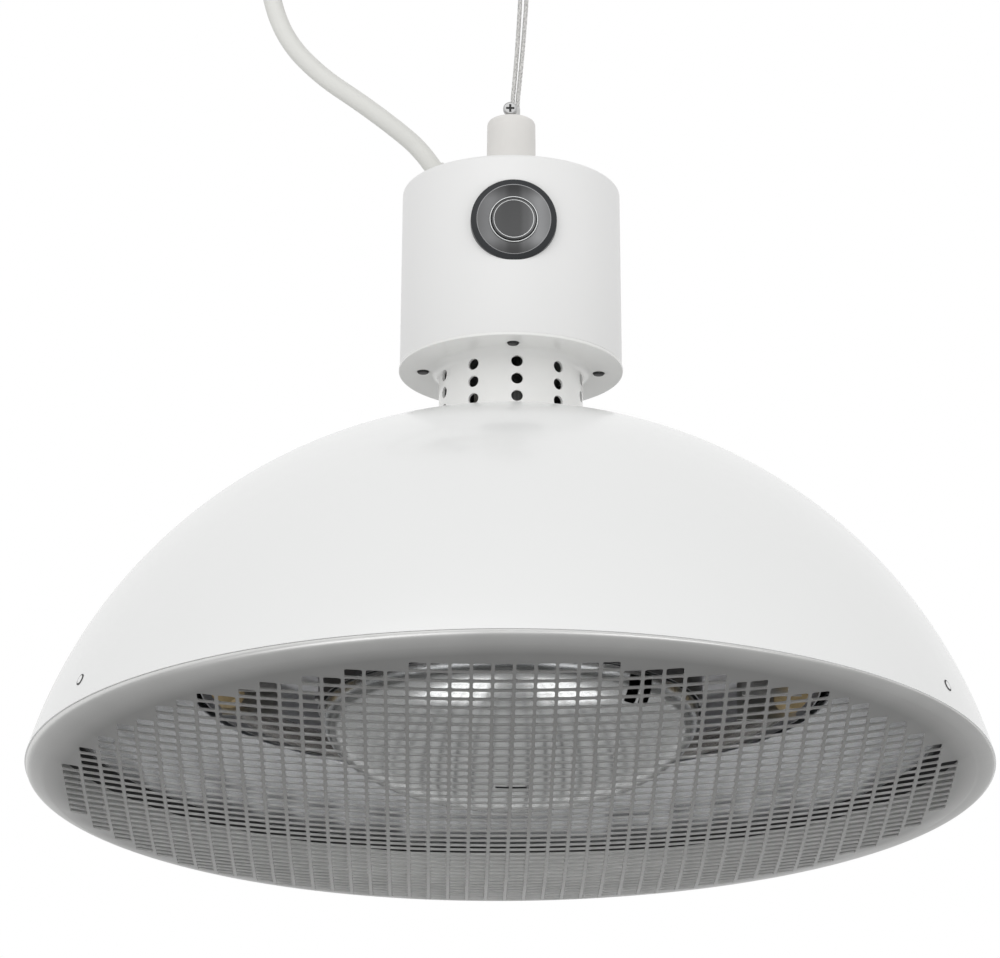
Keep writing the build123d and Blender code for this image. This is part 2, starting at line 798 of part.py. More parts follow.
def make_lamp_end_caps():
    """Ceramic ends, one on each end of each tube, along the tangent of the lamp circle."""
    caps = []
    for angle in (lamp_end_angle, 180 - lamp_end_angle, 180 + lamp_end_angle, -lamp_end_angle):
        towards_gap = -1 if angle in (lamp_end_angle, 180 + lamp_end_angle) else 1
        x = lamp_circle * math.cos(math.radians(angle))
        y = lamp_circle * math.sin(math.radians(angle))
        turn = Rot(0, 0, angle + 90 * towards_gap)
        body = Rot(0, 90, 0) * Cylinder(cap_radius, cap_length)
        cap = Pos(x, y, lamp_z) * turn * Pos(cap_length / 2 + seat_gap, 0, 0) * body
        caps.append(cap)
    return caps


def make_lamp_holders():
    """A bent steel plate under the channel's top at each side, with a saddle for each cap."""
    top = channel_top_z - channel_sheet - seat_gap
    holders = []
    for side in (-1, 1):
        plate = Pos(side * holder_x, 0, top - holder_sheet / 2) * Box(
            holder_width, holder_length, holder_sheet)
        web_near = holder_x - holder_width / 2
        web_far = lamp_circle + 2.0
        for y in (-1, 1):
            web_y = y * (lamp_circle * math.sin(math.radians(lamp_end_angle)) - cap_length / 2)
            height = top - holder_sheet / 2 - (lamp_z - cap_radius - 3.0)
            web = Box(web_far - web_near, holder_sheet, height)
            plate += Pos(side * (web_near + web_far) / 2, web_y, top - holder_sheet / 2 - height / 2) * web
        for y in (-1, 1):
            plate -= disc(1.6, top - 3, top + 1, side * holder_x, y * holder_screw_y())
        plate -= disc(lead_radius + 1.0, top - 3, top + 1, side * lead_drop_x, 0)
        holders.append(plate)
    for cap in make_lamp_end_caps():
        grown = cap.bounding_box()
        middle = grown.center()
        angle = math.degrees(math.atan2(middle.Y, middle.X))
        pocket = Pos(middle.X, middle.Y, lamp_z) * Rot(0, 0, angle + 90) * Rot(0, 90, 0) * Cylinder(
            cap_radius + seat_gap + 0.1, cap_length + 4)
        holders = [h - pocket for h in holders]
    return holders


def make_holder_screws():
    top = channel_top_z + 1.4
    bottom = channel_top_z - channel_sheet - holder_sheet - 3.0
    screws = []
    for x in (-1, 1):
        for y in (-1, 1):
            place = (x * holder_x, y * holder_screw_y())
            screw = disc(1.45, bottom, top, *place)
            screw += disc(2.7, channel_top_z + seat_gap, top, *place)
            screws.append(screw)
    return screws


def make_lead(side):
    """Heat-proof sleeve over the wires, from the collar down to the lamp holder."""
    drop = side * lead_drop_x
    near = side * lead_distance
    high = flange_bottom_z - 7.0
    bend = channel_top_z + 12.0
    points = [(near, 0, high), (near, 0, bend), (drop, 0, bend), (drop, 0, channel_top_z - 8.0)]
    path = FilletPolyline(*points, radius=9.0)
    section = Plane(origin=path @ 0, z_dir=path % 0) * Circle(lead_radius)
    return sweep(section, path=path)


def make_thermal_cutout():
    """A small disc thermostat on the heat shield, reset by itself."""
    top = shield_z - seat_gap
    body = disc(cutout_radius, top - cutout_height, top, 0, cutout_distance)
    body += Pos(0, cutout_distance, top - 1.0) * Box(3 * cutout_radius, cutout_radius + 1.0, 1.2)
    return body


def make_suspension_cap():
    outline = Polyline(
        (0, cap_bottom_z), (cap_bottom_radius, cap_bottom_z), (cap_top_radius, cap_top_z),
        (0, cap_top_z), close=True)
    face = make_face(outline)
    edge = [v for v in face.vertices() if v.Y > cap_top_z - 0.01 and v.X > 1]
    cap = revolve(Plane.XZ * fillet(edge, cap_fillet), Axis.Z)
    hollow = Polyline(
        (0, cap_bottom_z - 1), (cap_bottom_radius - cap_wall, cap_bottom_z - 1),
        (cap_top_radius - cap_wall, cap_top_z - cap_wall), (0, cap_top_z - cap_wall), close=True)
    cap -= revolve(Plane.XZ * make_face(hollow), Axis.Z)
    return cap - disc(stud_radius + seat_gap, cap_top_z - 4, cap_top_z + 1, stud_offset)


def make_rope_stud():
    """A pin on top of the stem, a little off its axis, that the rope's ends go into."""
    stem_top = cap_top_z - cap_wall - 3.0
    stud = disc(stud_radius, stem_top + seat_gap, cap_top_z + stud_height, stud_offset)
    stud += disc(stem_radius, stem_top + seat_gap, cap_top_z - cap_wall - seat_gap)
    stud += disc(stem_bore_radius - seat_gap, stem_top - 10.0, stem_top + 1.0)
    top_edge = stud.edges().sort_by(Axis.Z)[-1]
    stud = fillet(top_edge, 0.6)
    for side in (-1, 1):
        stud -= disc(rope_diameter / 2 + seat_gap, rope_bottom_z(), cap_top_z + stud_height + 1,
                     rope_offset + side * rope_spacing / 2, 0)
    stud -= facing(rope_screw_radius + seat_gap, -stud_radius - 1, -rope_diameter / 2 - 0.1,
                   rope_screw_offset, rope_screw_z())
    return stud


def rope_bottom_z():
    return cap_top_z + 1.0


def rope_screw_z():
    return cap_top_z + 4.4


def make_rope_screw():
    near = -stud_radius - seat_gap - rope_screw_head_height
    head = facing(rope_screw_head_radius, near, -stud_radius - seat_gap, rope_screw_offset,
                  rope_screw_z())
    front_edge = head.edges().sort_by(Axis.Y)[0]
    head = fillet(front_edge, 0.9)
    for w, h in ((3.6, 0.9), (0.9, 3.6)):
        head -= Pos(rope_screw_offset, near, rope_screw_z()) * Box(w, 2.4, h)
    return head + facing(rope_screw_radius, -stud_radius - 0.3, -rope_diameter / 2 - 0.2,
                         rope_screw_offset, rope_screw_z())


# Points of the middle line between the rope's two strands, from the stud up to the link, as x and
# the height above the cap
rope_bow = [(rope_offset, 0.55), (rope_offset, 8.0), (2.5, 18.0), (4.1, 37.0), (5.8, 65.0),
            (6.3, 96.0), (5.2, 133.0), (2.2, 167.0), (0.0, 189.15)]


def rope_path():
    bend = link_wire_radius + link_gap + rope_diameter / 2
    last = len(rope_bow) - 1
    half = [rope_spacing / 2 + (bend - rope_spacing / 2) * (i / last) ** 3 for i in range(last + 1)]
    left = [(x - h, 0, cap_top_z + z) for (x, z), h in zip(rope_bow, half)]
    right = [(x + h, 0, cap_top_z + z) for (x, z), h in zip(rope_bow, half)]
    left[0] = (rope_offset - rope_spacing / 2, 0, rope_bottom_z() + seat_gap)
    right[0] = (rope_offset + rope_spacing / 2, 0, rope_bottom_z() + seat_gap)
    top = [(-bend, 0, link_bottom_z + bend), (bend, 0, link_bottom_z + bend)]
    points = left + top + right[::-1]
    radii = []
    for before, here, after in zip(points, points[1:], points[2:]):
        if here in top:
            radii.append(bend * 0.998)
            continue
        into = Vector(*here) - Vector(*before)
        out = Vector(*after) - Vector(*here)
        run = min(into.length, out.length)
        turn = math.radians(into.get_angle(out))
        radii.append(0.45 * run / math.tan(turn / 2))
    return FilletPolyline(*points, radius=radii), radii


def make_wire_rope():
    path, radii = rope_path()
    section = Plane(origin=path @ 0, z_dir=path % 0) * Circle(rope_diameter / 2)
    print("wire rope length", round(path.length, 1), "radii", [round(r, 1) for r in radii])
    return sweep(section, path=path)


def link_outline(radius_in_plane):
    """The quick link's centre line: a long loop in the YZ plane, as a closed path."""
    half = link_inner_width / 2 + link_wire_radius
    low = link_bottom_z + half
    high = link_top_z - half
    return low, high, half


def make_link_body():
    low, high, half = link_outline(0)
    body = None
    for side in (-1, 1):
        bar = Pos(0, side * half, (low + high) / 2) * Cylinder(link_wire_radius, high - low)
        body = bar if body is None else body + bar
    ring = Rot(0, 90, 0) * Torus(half, link_wire_radius)
    big = 4 * half
    body += (Pos(0, 0, high) * ring) & (Pos(0, 0, high + big / 2) * Box(big, big, big))
    body += (Pos(0, 0, low) * ring) & (Pos(0, 0, low - big / 2) * Box(big, big, big))
    # The gap that the nut closes
    gap = Pos(0, half, (low + high) / 2) * Box(4 * link_wire_radius, 3 * link_wire_radius, 6.0)
    return body - gap


def make_link_nut():
    low, high, half = link_outline(0)
    middle = (low + high) / 2
    outline = RegularPolygon(link_nut_radius, 6)
    nut = Pos(0, half, middle - link_nut_length / 2) * extrude(outline, link_nut_length)
    return nut - disc(link_wire_radius + seat_gap, middle - link_nut_length,
                      middle + link_nut_length, 0, half)


def make_ceiling_eye():
    ring = Pos(0, 0, eye_centre_z) * Rot(90, 0, 0) * Torus(eye_ring_radius, eye_wire_radius)
    top = eye_centre_z + eye_ring_radius
    return ring + disc(eye_wire_radius, top, ceiling_z - 0.5)


def make_ceiling_plate():
    face = make_face(Polyline(
        (0, plate_bottom_z - plate_boss_height + seat_gap),
        (plate_boss_radius, plate_bottom_z - plate_boss_height + seat_gap),
        (plate_boss_radius + 3.0, plate_bottom_z), (plate_radius, plate_bottom_z),
        (plate_radius, ceiling_z), (0, ceiling_z), close=True))
    edge = [v for v in face.vertices()
            if abs(v.X - plate_radius) < 0.01 and v.Y < plate_bottom_z + 0.01]
    plate = revolve(Plane.XZ * fillet(edge, 1.6), Axis.Z)
    plate -= disc(eye_wire_radius + seat_gap, plate_bottom_z - 8, ceiling_z - 0.4)
    plate -= Pos(0, 0, eye_centre_z) * Rot(90, 0, 0) * Torus(eye_ring_radius, eye_wire_radius + seat_gap)
    hole = disc(plate_hole_radius, plate_bottom_z - 1, ceiling_z + 1, 0, plate_hole_circle)
    return plate - around(hole, plate_holes)


def make_cord_gland():
    """Flange on the housing and a tapered strain relief that leans with the cord."""
    base_z = housing_top_z + seat_gap
    flange = disc(gland_radius, base_z, base_z + gland_flange_height, gland_x, gland_y)
    flange = fillet(flange.edges().sort_by(Axis.Z)[-1], 0.9)
    start = Vector(gland_x, gland_y, base_z + 0.5)
    tip = Vector(*cord_route[0])
    lean = (Vector(*cord_route[1]) - tip).normalized()
    low = Plane(origin=start, z_dir=(0, 0, 1)) * Circle(gland_radius - 0.6)
    high = Plane(origin=tip, z_dir=lean) * Circle(relief_tip_radius)
    relief = loft([low.face(), high.face()])
    gland = flange + relief
    gland += disc(gland_bore_radius() - seat_gap, housing_top_z - housing_wall - 7.0, base_z + 0.6,
                  gland_x, gland_y)
    return gland


def make_gland_nut():
    top = housing_top_z - housing_wall - seat_gap
    outline = RegularPolygon(gland_bore_radius() + 2.6, 6)
    nut = Pos(gland_x, gland_y, top - gland_nut_height) * extrude(outline, gland_nut_height)
    return nut - disc(gland_bore_radius(), top - 20, top + 1, gland_x, gland_y)


# Route of the power cord from the strain relief up to the coil, and from the coil to the plug, as
# points chosen by hand, with heights above the housing's top
cord_points = [
    (-34.4, 22.0, 19.6),
    (-40.2, 22.0, 28.6),
    (-51.2, 22.0, 38.6),
    (-68.0, 22.0, 51.8),
    (-87.0, 22.0, 65.0),
    (-102.5, 21.3, 81.5),
    (-110.5, 19.5, 102.5),
    (-111.8, 16.5, 125.5),
    (-108.0, 13.0, 148.5),
    (-100.5, 9.8, 169.5),
    (-90.5, 7.0, 186.55),
    (-83.5, 5.8, 198.55),
]
tail_points = [
    (-37.5, 22.6, 212.7),
    (-26.0, 24.0, 210.4),
    (-15.5, 30.0, 203.8),
    (-8.0, 36.5, 194.5),
    (-3.9, 39.0, 185.0),
    (-0.5, 39.0, 177.2),
]
cord_route = [(x, y, housing_top_z + z) for x, y, z in cord_points]
tail_route = [(x, y, housing_top_z + z) for x, y, z in tail_points]


def route_radii(points):
    radii = []
    for before, here, after in zip(points, points[1:], points[2:]):
        into = Vector(*here) - Vector(*before)
        out = Vector(*after) - Vector(*here)
        run = min(into.length, out.length)
        turn = math.radians(into.get_angle(out))
        radii.append(0.45 * run / math.tan(turn / 2))
    return radii


def swept_route(points, radius):
    path = FilletPolyline(*points, radius=route_radii(points))
    section = Plane(origin=path @ 0, z_dir=path % 0) * Circle(radius)
    return sweep(section, path=path)


def make_cord(points, label):
    radii = route_radii(points)
    path = FilletPolyline(*points, radius=radii)
    cord = swept_route(points, cord_diameter / 2)
    expected = math.pi * cord_diameter**2 / 4 * path.length
    print(label, "length", round(path.length, 1), "radii", [round(r) for r in radii],
          "volume share", round(cord.volume / expected, 4))
    return cord


def make_cord_coil():
    """The closed outer shape of the wound cord, a ring about the Y axis."""
    inner = coil_inner_turn - cord_diameter / 2
    outer = coil_outer_turn + cord_diameter / 2
    ring = facing(outer, coil_front_y, coil_back_y, coil_centre_x, coil_centre_z)
    ring -= facing(inner, coil_front_y - 1, coil_back_y + 1, coil_centre_x, coil_centre_z)
    return fillet(ring.edges(), 3.6)


def make_coil_ties():
    """Three straps round the turns; the one at the right side also holds the rope."""
    ties = []
    middle_turn = (coil_inner_turn + coil_outer_turn) / 2
    across = coil_outer_turn - coil_inner_turn + cord_diameter + 2 * tie_slack
    back = coil_back_y + tie_slack
    for angle, front in ((0, -rope_diameter / 2), (115, coil_front_y), (245, coil_front_y)):
        depth = back - front + tie_slack
        middle = Pos(middle_turn, back - depth / 2, 0)
        inner = RectangleRounded(across, depth, tie_corner)
        outer = RectangleRounded(across + 2 * tie_thickness, depth + 2 * tie_thickness,
                                 tie_corner + tie_thickness)
        tie = extrude(middle * (outer - inner), tie_width / 2, both=True)
        ties.append(Pos(coil_centre_x, 0, coil_centre_z) * Rot(0, -angle, 0) * tie)
    return ties


def plug_frame():
    """A frame at the plug's middle: z points out of its pin face, x along the way to the cord."""
    end = Vector(*tail_route[-1])
    back = (Vector(*tail_route[-2]) - end).normalized()
    flat = Vector(back.X, 0, back.Z).normalized()
    centre = end - flat * (plug_neck_length + plug_radius - 3.0)
    return Plane(origin=centre, x_dir=flat, z_dir=(0, 1, 0))


def make_plug_body():
    frame = plug_frame()
    body = Cylinder(plug_radius, plug_thickness)
    body = fillet(body.edges().filter_by(GeomType.CIRCLE), 2.2)
    root = plug_radius / 2
    reach = plug_radius + plug_neck_length - 3.0
    body += Pos((root + reach) / 2, 0, 0) * Rot(0, 90, 0) * Cone(9.5, plug_neck_radius, reach - root)
    face_z = plug_thickness / 2
    body -= Pos(0, 0, face_z) * (Cylinder(15.5, 2.4) - Cylinder(11.5, 2.4))
    return frame * body


def make_plug_pins():
    frame = plug_frame()
    pins = []
    for side in (-1, 1):
        pin = Cylinder(pin_radius, pin_length)
        pin = fillet(pin.edges().sort_by(Axis.Z)[-1], 1.4)
        pins.append(frame * Pos(0, side * pin_spacing / 2 * 0.55,
                                plug_thickness / 2 + seat_gap + pin_length / 2) * pin)
    return pins


def solids_of(piece):
    """One compound of all solids in a piece or a list of pieces."""
    group = piece if isinstance(piece, (list, tuple)) else [piece]
    return [solid for one in group for solid in one.solids()]


nodes = {
    "ceiling_plate": make_ceiling_plate(),
    "ceiling_eye": make_ceiling_eye(),
    "link_body": make_link_body(),
    "link_nut": make_link_nut(),
    "wire_rope": make_wire_rope(),
    "rope_stud": make_rope_stud(),
    "rope_screw": make_rope_screw(),
    "suspension_cap": make_suspension_cap(),
    "stem": make_stem(),
    "stem_nuts": make_stem_nuts(),
    "stem_washers": make_stem_washers(),
    "housing_shell": make_housing(),
    "vent_collar": make_vent_collar(),
    "flange_screws": make_flange_screws(),
    "control_lens": make_control_lens(),
    "button_ring": make_button_ring(),
    "power_button": make_power_button(),
    "button_spring": make_button_spring(),
    "control_board": make_control_board(),
    "board_switch": make_board_switch(),
    "board_relay": make_relay(),
    "terminal_block": make_terminal_block(),
    "cord_gland": make_cord_gland(),
    "gland_nut": make_gland_nut(),
    "power_cord": make_cord(cord_route, "power cord"),
    "cord_coil": make_cord_coil(),
    "cord_tail": make_cord(tail_route, "cord tail"),
    "coil_ties": make_coil_ties(),
    "plug_body": make_plug_body(),
    "plug_pins": make_plug_pins(),
    "shade": make_shade(),
    "clamp_bridge": make_clamp_bridge(),
    "heat_shield": make_heat_shield(),
    "thermal_cutout": make_thermal_cutout(),
    "spider": make_spider(),
    "channel_rivets": make_channel_rivets(),
    "lamp_channel": make_lamp_channel(),
    "outer_reflector": make_outer_reflector(),
    "central_reflector": make_central_reflector(),
    "bowl_rivets": make_bowl_rivets(),
    "lamp_front": make_lamp_tube(-1),
    "lamp_back": make_lamp_tube(1),
    "filament_front": make_filament(-1),
    "filament_back": make_filament(1),
    "lamp_end_caps": make_lamp_end_caps(),
    "lamp_holders": make_lamp_holders(),
    "holder_screws": make_holder_screws(),
    "lead_left": make_lead(-1),
    "lead_right": make_lead(1),
    "grille_pan": make_grille_pan(),
    "rim_rivets": make_rim_rivets(),
}

to_ceiling = Location((0, 0, -ceiling_z))
for name, piece in nodes.items():
    solids = solids_of(piece)
    shape = solids[0] if len(solids) == 1 else Compound(children=solids)
    export_step(shape.moved(to_ceiling), f"parts/{name}.step")

print("ceiling face above the rim", round(ceiling_z, 3))
print("link swing axis z", round(eye_wire_z - ceiling_z, 3))
print("heater swing axis z", round(link_bottom_z - ceiling_z, 3))
print("lens centre z", round(lens_height_z - ceiling_z, 3), "front y", round(lens_front_y(), 3))
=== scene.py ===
# %% [markdown]
# # A ceiling hung patio heater
# The object is a white sheet dome over ring lamps, closed below by a bulged and perforated pan.
# Above it stand a vented collar and a round control housing, and a doubled wire rope carries it.
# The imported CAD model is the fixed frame. Every visible piece is made again around it, finer,
# and in the same place: metres, Z up, and the ceiling's face at z = 0.

# %% Load the frame
import json
import math

import bmesh
import bpy
from mathutils import Matrix, Vector

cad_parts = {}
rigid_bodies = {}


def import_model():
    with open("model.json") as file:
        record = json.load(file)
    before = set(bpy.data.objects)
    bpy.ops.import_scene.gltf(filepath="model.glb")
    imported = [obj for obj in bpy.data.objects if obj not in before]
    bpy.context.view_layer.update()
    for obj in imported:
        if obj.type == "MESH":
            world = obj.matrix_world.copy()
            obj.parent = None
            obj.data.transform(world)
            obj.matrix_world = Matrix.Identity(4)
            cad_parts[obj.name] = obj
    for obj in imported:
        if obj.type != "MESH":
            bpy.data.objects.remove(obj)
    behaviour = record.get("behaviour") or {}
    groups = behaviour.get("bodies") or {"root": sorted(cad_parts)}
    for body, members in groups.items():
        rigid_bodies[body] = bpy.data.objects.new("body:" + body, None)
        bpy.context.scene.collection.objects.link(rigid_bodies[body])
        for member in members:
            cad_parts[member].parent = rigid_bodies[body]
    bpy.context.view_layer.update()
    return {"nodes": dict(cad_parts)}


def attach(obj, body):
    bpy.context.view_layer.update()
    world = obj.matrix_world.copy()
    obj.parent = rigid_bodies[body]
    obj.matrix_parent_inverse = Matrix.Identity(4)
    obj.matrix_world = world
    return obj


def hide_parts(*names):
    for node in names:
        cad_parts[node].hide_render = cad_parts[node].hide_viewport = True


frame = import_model()
scene = bpy.context.scene

# %% [markdown]
# ## Working units
# The drawings of this heater count heights from the dome's rim in millimetres. One helper turns
# such a point into the frame's metres, so that every number below reads like the drawing.

# %% Heights counted from the rim
RIM_BELOW_CEILING = 571.203


def at(x, y, z):
    """A point in millimetres, with z counted from the dome's rim, in the frame's metres."""
    return Vector((x / 1000, y / 1000, (z - RIM_BELOW_CEILING) / 1000))


def mm(value):
    return value / 1000


# %% [markdown]
# ## The camera
# The picture was taken with a long lens, from below and in front of the heater. Its place was
# found from the ellipses of the rim, the flange and the rows of holes.

# %% Camera
SENSOR, FOCAL_PIXELS, PICTURE_WIDTH = 36, 6408.6, 1000
camera_data = bpy.data.cameras.new("photo_camera")
camera = bpy.data.objects.new("photo_camera", camera_data)
scene.collection.objects.link(camera)
camera_pitch, camera_roll, camera_round = 0.32479, 0.00223, math.radians(-1.3)
camera_place = at(-4.758, -2703.72, -774.82)
ahead = Vector((0, math.cos(camera_pitch), math.sin(camera_pitch)))
level = Vector((1, 0, 0))
upward = Vector((0, -math.sin(camera_pitch), math.cos(camera_pitch)))
right = math.cos(camera_roll) * level + math.sin(camera_roll) * upward
top = -math.sin(camera_roll) * level + math.cos(camera_roll) * upward
turn = Matrix((right, top, -ahead)).transposed()
placed = Matrix.Translation(camera_place) @ turn.to_4x4()
camera.matrix_world = Matrix.Rotation(camera_round, 4, "Z") @ placed
camera_data.sensor_width = SENSOR
camera_data.sensor_fit = "HORIZONTAL"
camera_data.lens = SENSOR * FOCAL_PIXELS / PICTURE_WIDTH
camera_data.clip_start = 0.05
camera_data.clip_end = 60
scene.camera = camera
print("lens", round(camera_data.lens, 1), "mm")

# %% [markdown]
# ## Helpers for meshes
# Most of the heater is spun sheet metal or turned plastic, so its pieces are profiles turned
# about an axis. A profile is a list of corner points with a radius at each corner, which reads
# like a turner's sketch, and the helper writes the quads itself, so poles and seams close.

# %% Profiles and turned pieces
POLE_RADIUS = 1e-6


def rounded(corners, steps=6):
    """Corner points as (r, z) or (r, z, corner radius) to a polyline with arcs at the corners."""
    line = []
    for i, corner in enumerate(corners):
        here = Vector(corner[:2])
        radius = corner[2] if len(corner) > 2 else 0
        if not radius or i in (0, len(corners) - 1):
            line.append(here)
            continue
        back = (Vector(corners[i - 1][:2]) - here).normalized()
        on = (Vector(corners[i + 1][:2]) - here).normalized()
        half = back.angle(on) / 2
        reach = radius / math.tan(half)
        centre = here + (back + on).normalized() * radius / math.sin(half)
        first = here + back * reach - centre
        last = here + on * reach - centre
        sweep = first.angle_signed(last)
        for k in range(steps + 1):
            turned = first.copy()
            turned.rotate(Matrix.Rotation(-sweep * k / steps, 2))
            line.append(centre + turned)
    return line


def arc(radius, height_of_centre, start_r, end_r, steps):
    """Points on the upper half of a circle about (0, centre), between two radii."""
    a = math.asin(start_r / radius)
    b = math.asin(end_r / radius)
    angles = [a + (b - a) * i / steps for i in range(steps + 1)]
    return [Vector((radius * math.sin(t), height_of_centre + radius * math.cos(t))) for t in angles]


def new_object(name, data):
    piece = bpy.data.objects.new(name, data)
    scene.collection.objects.link(piece)
    return piece


def smooth(mesh, sharp_angle=35):
    mesh.shade_smooth()
    mesh.set_sharp_from_angle(angle=math.radians(sharp_angle))


def as_object(name, builder, sharp=35):
    """A builder's mesh as a new object, shaded smooth up to an angle, or flat without one."""
    mesh = bpy.data.meshes.new(name)
    builder.to_mesh(mesh)
    builder.free()
    if sharp:
        smooth(mesh, sharp)
    return new_object(name, mesh)


def skinned(name, rows, closed=False, capped=False, sharp=35):
    """Quads between rings of points in millimetres, where a ring of one point is a pole."""
    builder = bmesh.new()
    rings = [[builder.verts.new(at(*point)) for point in row] for row in rows]
    count = max(len(ring) for ring in rings)
    for low, high in zip(rings, rings[1:] + rings[:1] if closed else rings[1:]):
        if len(low) == len(high) == 1:
            continue
        for i in range(count):
            a, b = i % len(low), (i + 1) % len(low)
            c, d = (i + 1) % len(high), i % len(high)
            builder.faces.new(list(dict.fromkeys((low[a], low[b], high[c], high[d]))))
    if capped:
        builder.faces.new(rings[0])
        builder.faces.new(rings[-1])
    bmesh.ops.recalc_face_normals(builder, faces=builder.faces)
    return as_object(name, builder, sharp)


def turned(name, profile, segments=192, centre=(0, 0, 0), axis="Z", sharp=35):
    """A profile in millimetres turned about an axis: Z upwards, or Y away from the viewer.

    The last point joins the first, unless both are poles on the axis."""
    rows = []
    for radius, height in profile:
        turns = [2 * math.pi * i / segments for i in range(segments if radius > POLE_RADIUS else 1)]
        row = [(radius * math.cos(t), radius * math.sin(t), height) for t in turns]
        if axis == "Y":
            row = [(x, z, -y) for x, y, z in row]
        rows.append([tuple(p + c for p, c in zip(point, centre)) for point in row])
    return skinned(name, rows, closed=True, sharp=sharp)


def box_mesh(name, low, high, bevel=0.0, place=None):
    """A block between two corners in millimetres, with rounded edges."""
    builder = bmesh.new()
    bmesh.ops.create_cube(builder, size=1)
    for v in builder.verts:
        v.co = Vector(c * (b - a) + (a + b) / 2 for c, a, b in zip(v.co, low, high))
    if bevel:
        bmesh.ops.bevel(builder, geom=builder.edges[:], offset=bevel, segments=2,
                        affect="EDGES", profile=0.5)
    for v in builder.verts:
        v.co = at(*v.co) if place is None else at(*(place @ v.co))
    return as_object(name, builder, 30)


def joined(name, parts):
    """Several objects made one, with their mesh data kept where it is."""
    builder = bmesh.new()
    for part in parts:
        builder.from_mesh(part.data)
        bpy.data.objects.remove(part)
    return as_object(name, builder)


# %% [markdown]
# ## Helpers for Geometry Nodes
# Screws, vent holes and the pan's perforation repeat, so Geometry Nodes make them: one
# small tree places a shape round a ring, and others cut it away or fill between outlines. Each
# result is written back as a plain mesh, because the exported model can't hold instances.

# %% Node tree helpers


def add_node(tree, kind, inputs=None, out=0, **settings):
    """A node with its settings, its inputs linked or set, and the output that is asked for."""
    node = tree.nodes.new(kind)
    for key, value in settings.items():
        setattr(node, key, value)
    for key, value in (inputs or {}).items():
        if isinstance(value, bpy.types.NodeSocket):
            tree.links.new(value, node.inputs[key])
        else:
            node.inputs[key].default_value = value
    return node.outputs[out]


class Tree:
    """A geometry node tree with named inputs, and short calls to add and link nodes."""

    def __init__(self, name, inputs):
        self.tree = bpy.data.node_groups.new(name, "GeometryNodeTree")
        sockets = self.tree.interface
        sockets.new_socket("Geometry", in_out="INPUT", socket_type="NodeSocketGeometry")
        sockets.new_socket("Geometry", in_out="OUTPUT", socket_type="NodeSocketGeometry")
        self.ids = {}
        for label, kind, value in inputs:
            socket = sockets.new_socket(label, in_out="INPUT", socket_type="NodeSocket" + kind)
            if value is not None:
                socket.default_value = value
            self.ids[label] = socket.identifier
        self.source = self.tree.nodes.new("NodeGroupInput")
        self.result = self.tree.nodes.new("NodeGroupOutput")

    def input(self, label):
        return self.source.outputs[label]

    def add(self, kind, inputs=None, out=0, **settings):
        return add_node(self.tree, kind, inputs, out, **settings)

    def join(self, *parts):
        node = self.tree.nodes.new("GeometryNodeJoinGeometry")
        for part in parts:
            self.tree.links.new(part, node.inputs[0])
        return node.outputs[0]

    def math(self, operation, a, b=0.0):
        return self.add("ShaderNodeMath", {0: a, 1: b}, operation=operation)

    def end(self, geometry, material):
        """Realize Instances and Set Material close each tree."""
        solid = self.add("GeometryNodeRealizeInstances", {"Geometry": geometry})
        solid = self.add("GeometryNodeSetMaterial", {"Geometry": solid, "Material": material})
        self.tree.links.new(solid, self.result.inputs[0])


def baked(name, tree, values, host=None):
    """The tree's result on a host object, or on an empty mesh, as a plain mesh object."""
    carrier = host or new_object(name + "_carrier", bpy.data.meshes.new(name + "_carrier"))
    modifier = carrier.modifiers.new(name, "NODES")
    modifier.node_group = tree.tree
    for label, value in values.items():
        modifier[tree.ids[label]] = value
    carrier.update_tag()
    depsgraph = bpy.context.evaluated_depsgraph_get()
    depsgraph.update()
    mesh = bpy.data.meshes.new_from_object(carrier.evaluated_get(depsgraph), depsgraph=depsgraph)
    mesh.name = name
    carrier.modifiers.remove(modifier)
    bpy.data.objects.remove(carrier)
    smooth(mesh)
    return new_object(name, mesh)


def hidden(piece):
    """A shape that trees repeat or cut with, kept as data but not shown."""
    for collection in piece.users_collection:
        collection.objects.unlink(piece)
    return piece


def ring_tree(cut=False):
    """Copies of one shape round the Z axis and on several levels; cut takes them off the host."""
    tree = Tree("ring_cut" if cut else "ring_of", [
        ("Shape", "Object", None), ("Count", "Int", 4), ("First angle", "Float", 0.0),
        ("Levels", "Int", 1), ("Level step", "Float", 0.0), ("Material", "Material", None)])
    add, calc, given = tree.add, tree.math, tree.input
    points = add("GeometryNodeMeshLine", {"Count": given("Count"), "Offset": (0, 0, 0)})
    step = calc("DIVIDE", 2 * math.pi, given("Count"))
    angle = calc("MULTIPLY", add("GeometryNodeInputIndex"), step)
    turn = add("ShaderNodeCombineXYZ", {"Z": calc("ADD", angle, given("First angle"))})
    shape = add("GeometryNodeObjectInfo", {"Object": given("Shape")}, out="Geometry",
                transform_space="ORIGINAL")
    copies = add("GeometryNodeInstanceOnPoints", {
        "Points": points, "Instance": shape, "Rotation": turn})
    copies = add("GeometryNodeRealizeInstances", {"Geometry": copies})
    drop = add("ShaderNodeCombineXYZ", {"Z": given("Level step")})
    levels = add("GeometryNodeMeshLine", {"Count": given("Levels"), "Offset": drop})
    copies = add("GeometryNodeInstanceOnPoints", {"Points": levels, "Instance": copies})
    copies = add("GeometryNodeRealizeInstances", {"Geometry": copies})
    if cut:
        copies = add("GeometryNodeMeshBoolean", {"Mesh 1": given("Geometry"), "Mesh 2": copies},
                     operation="DIFFERENCE", solver="EXACT")
    tree.end(copies, given("Material"))
    return tree


ring_of = ring_tree()
ring_cut = ring_tree(cut=True)
print("node trees", [group.name for group in bpy.data.node_groups])

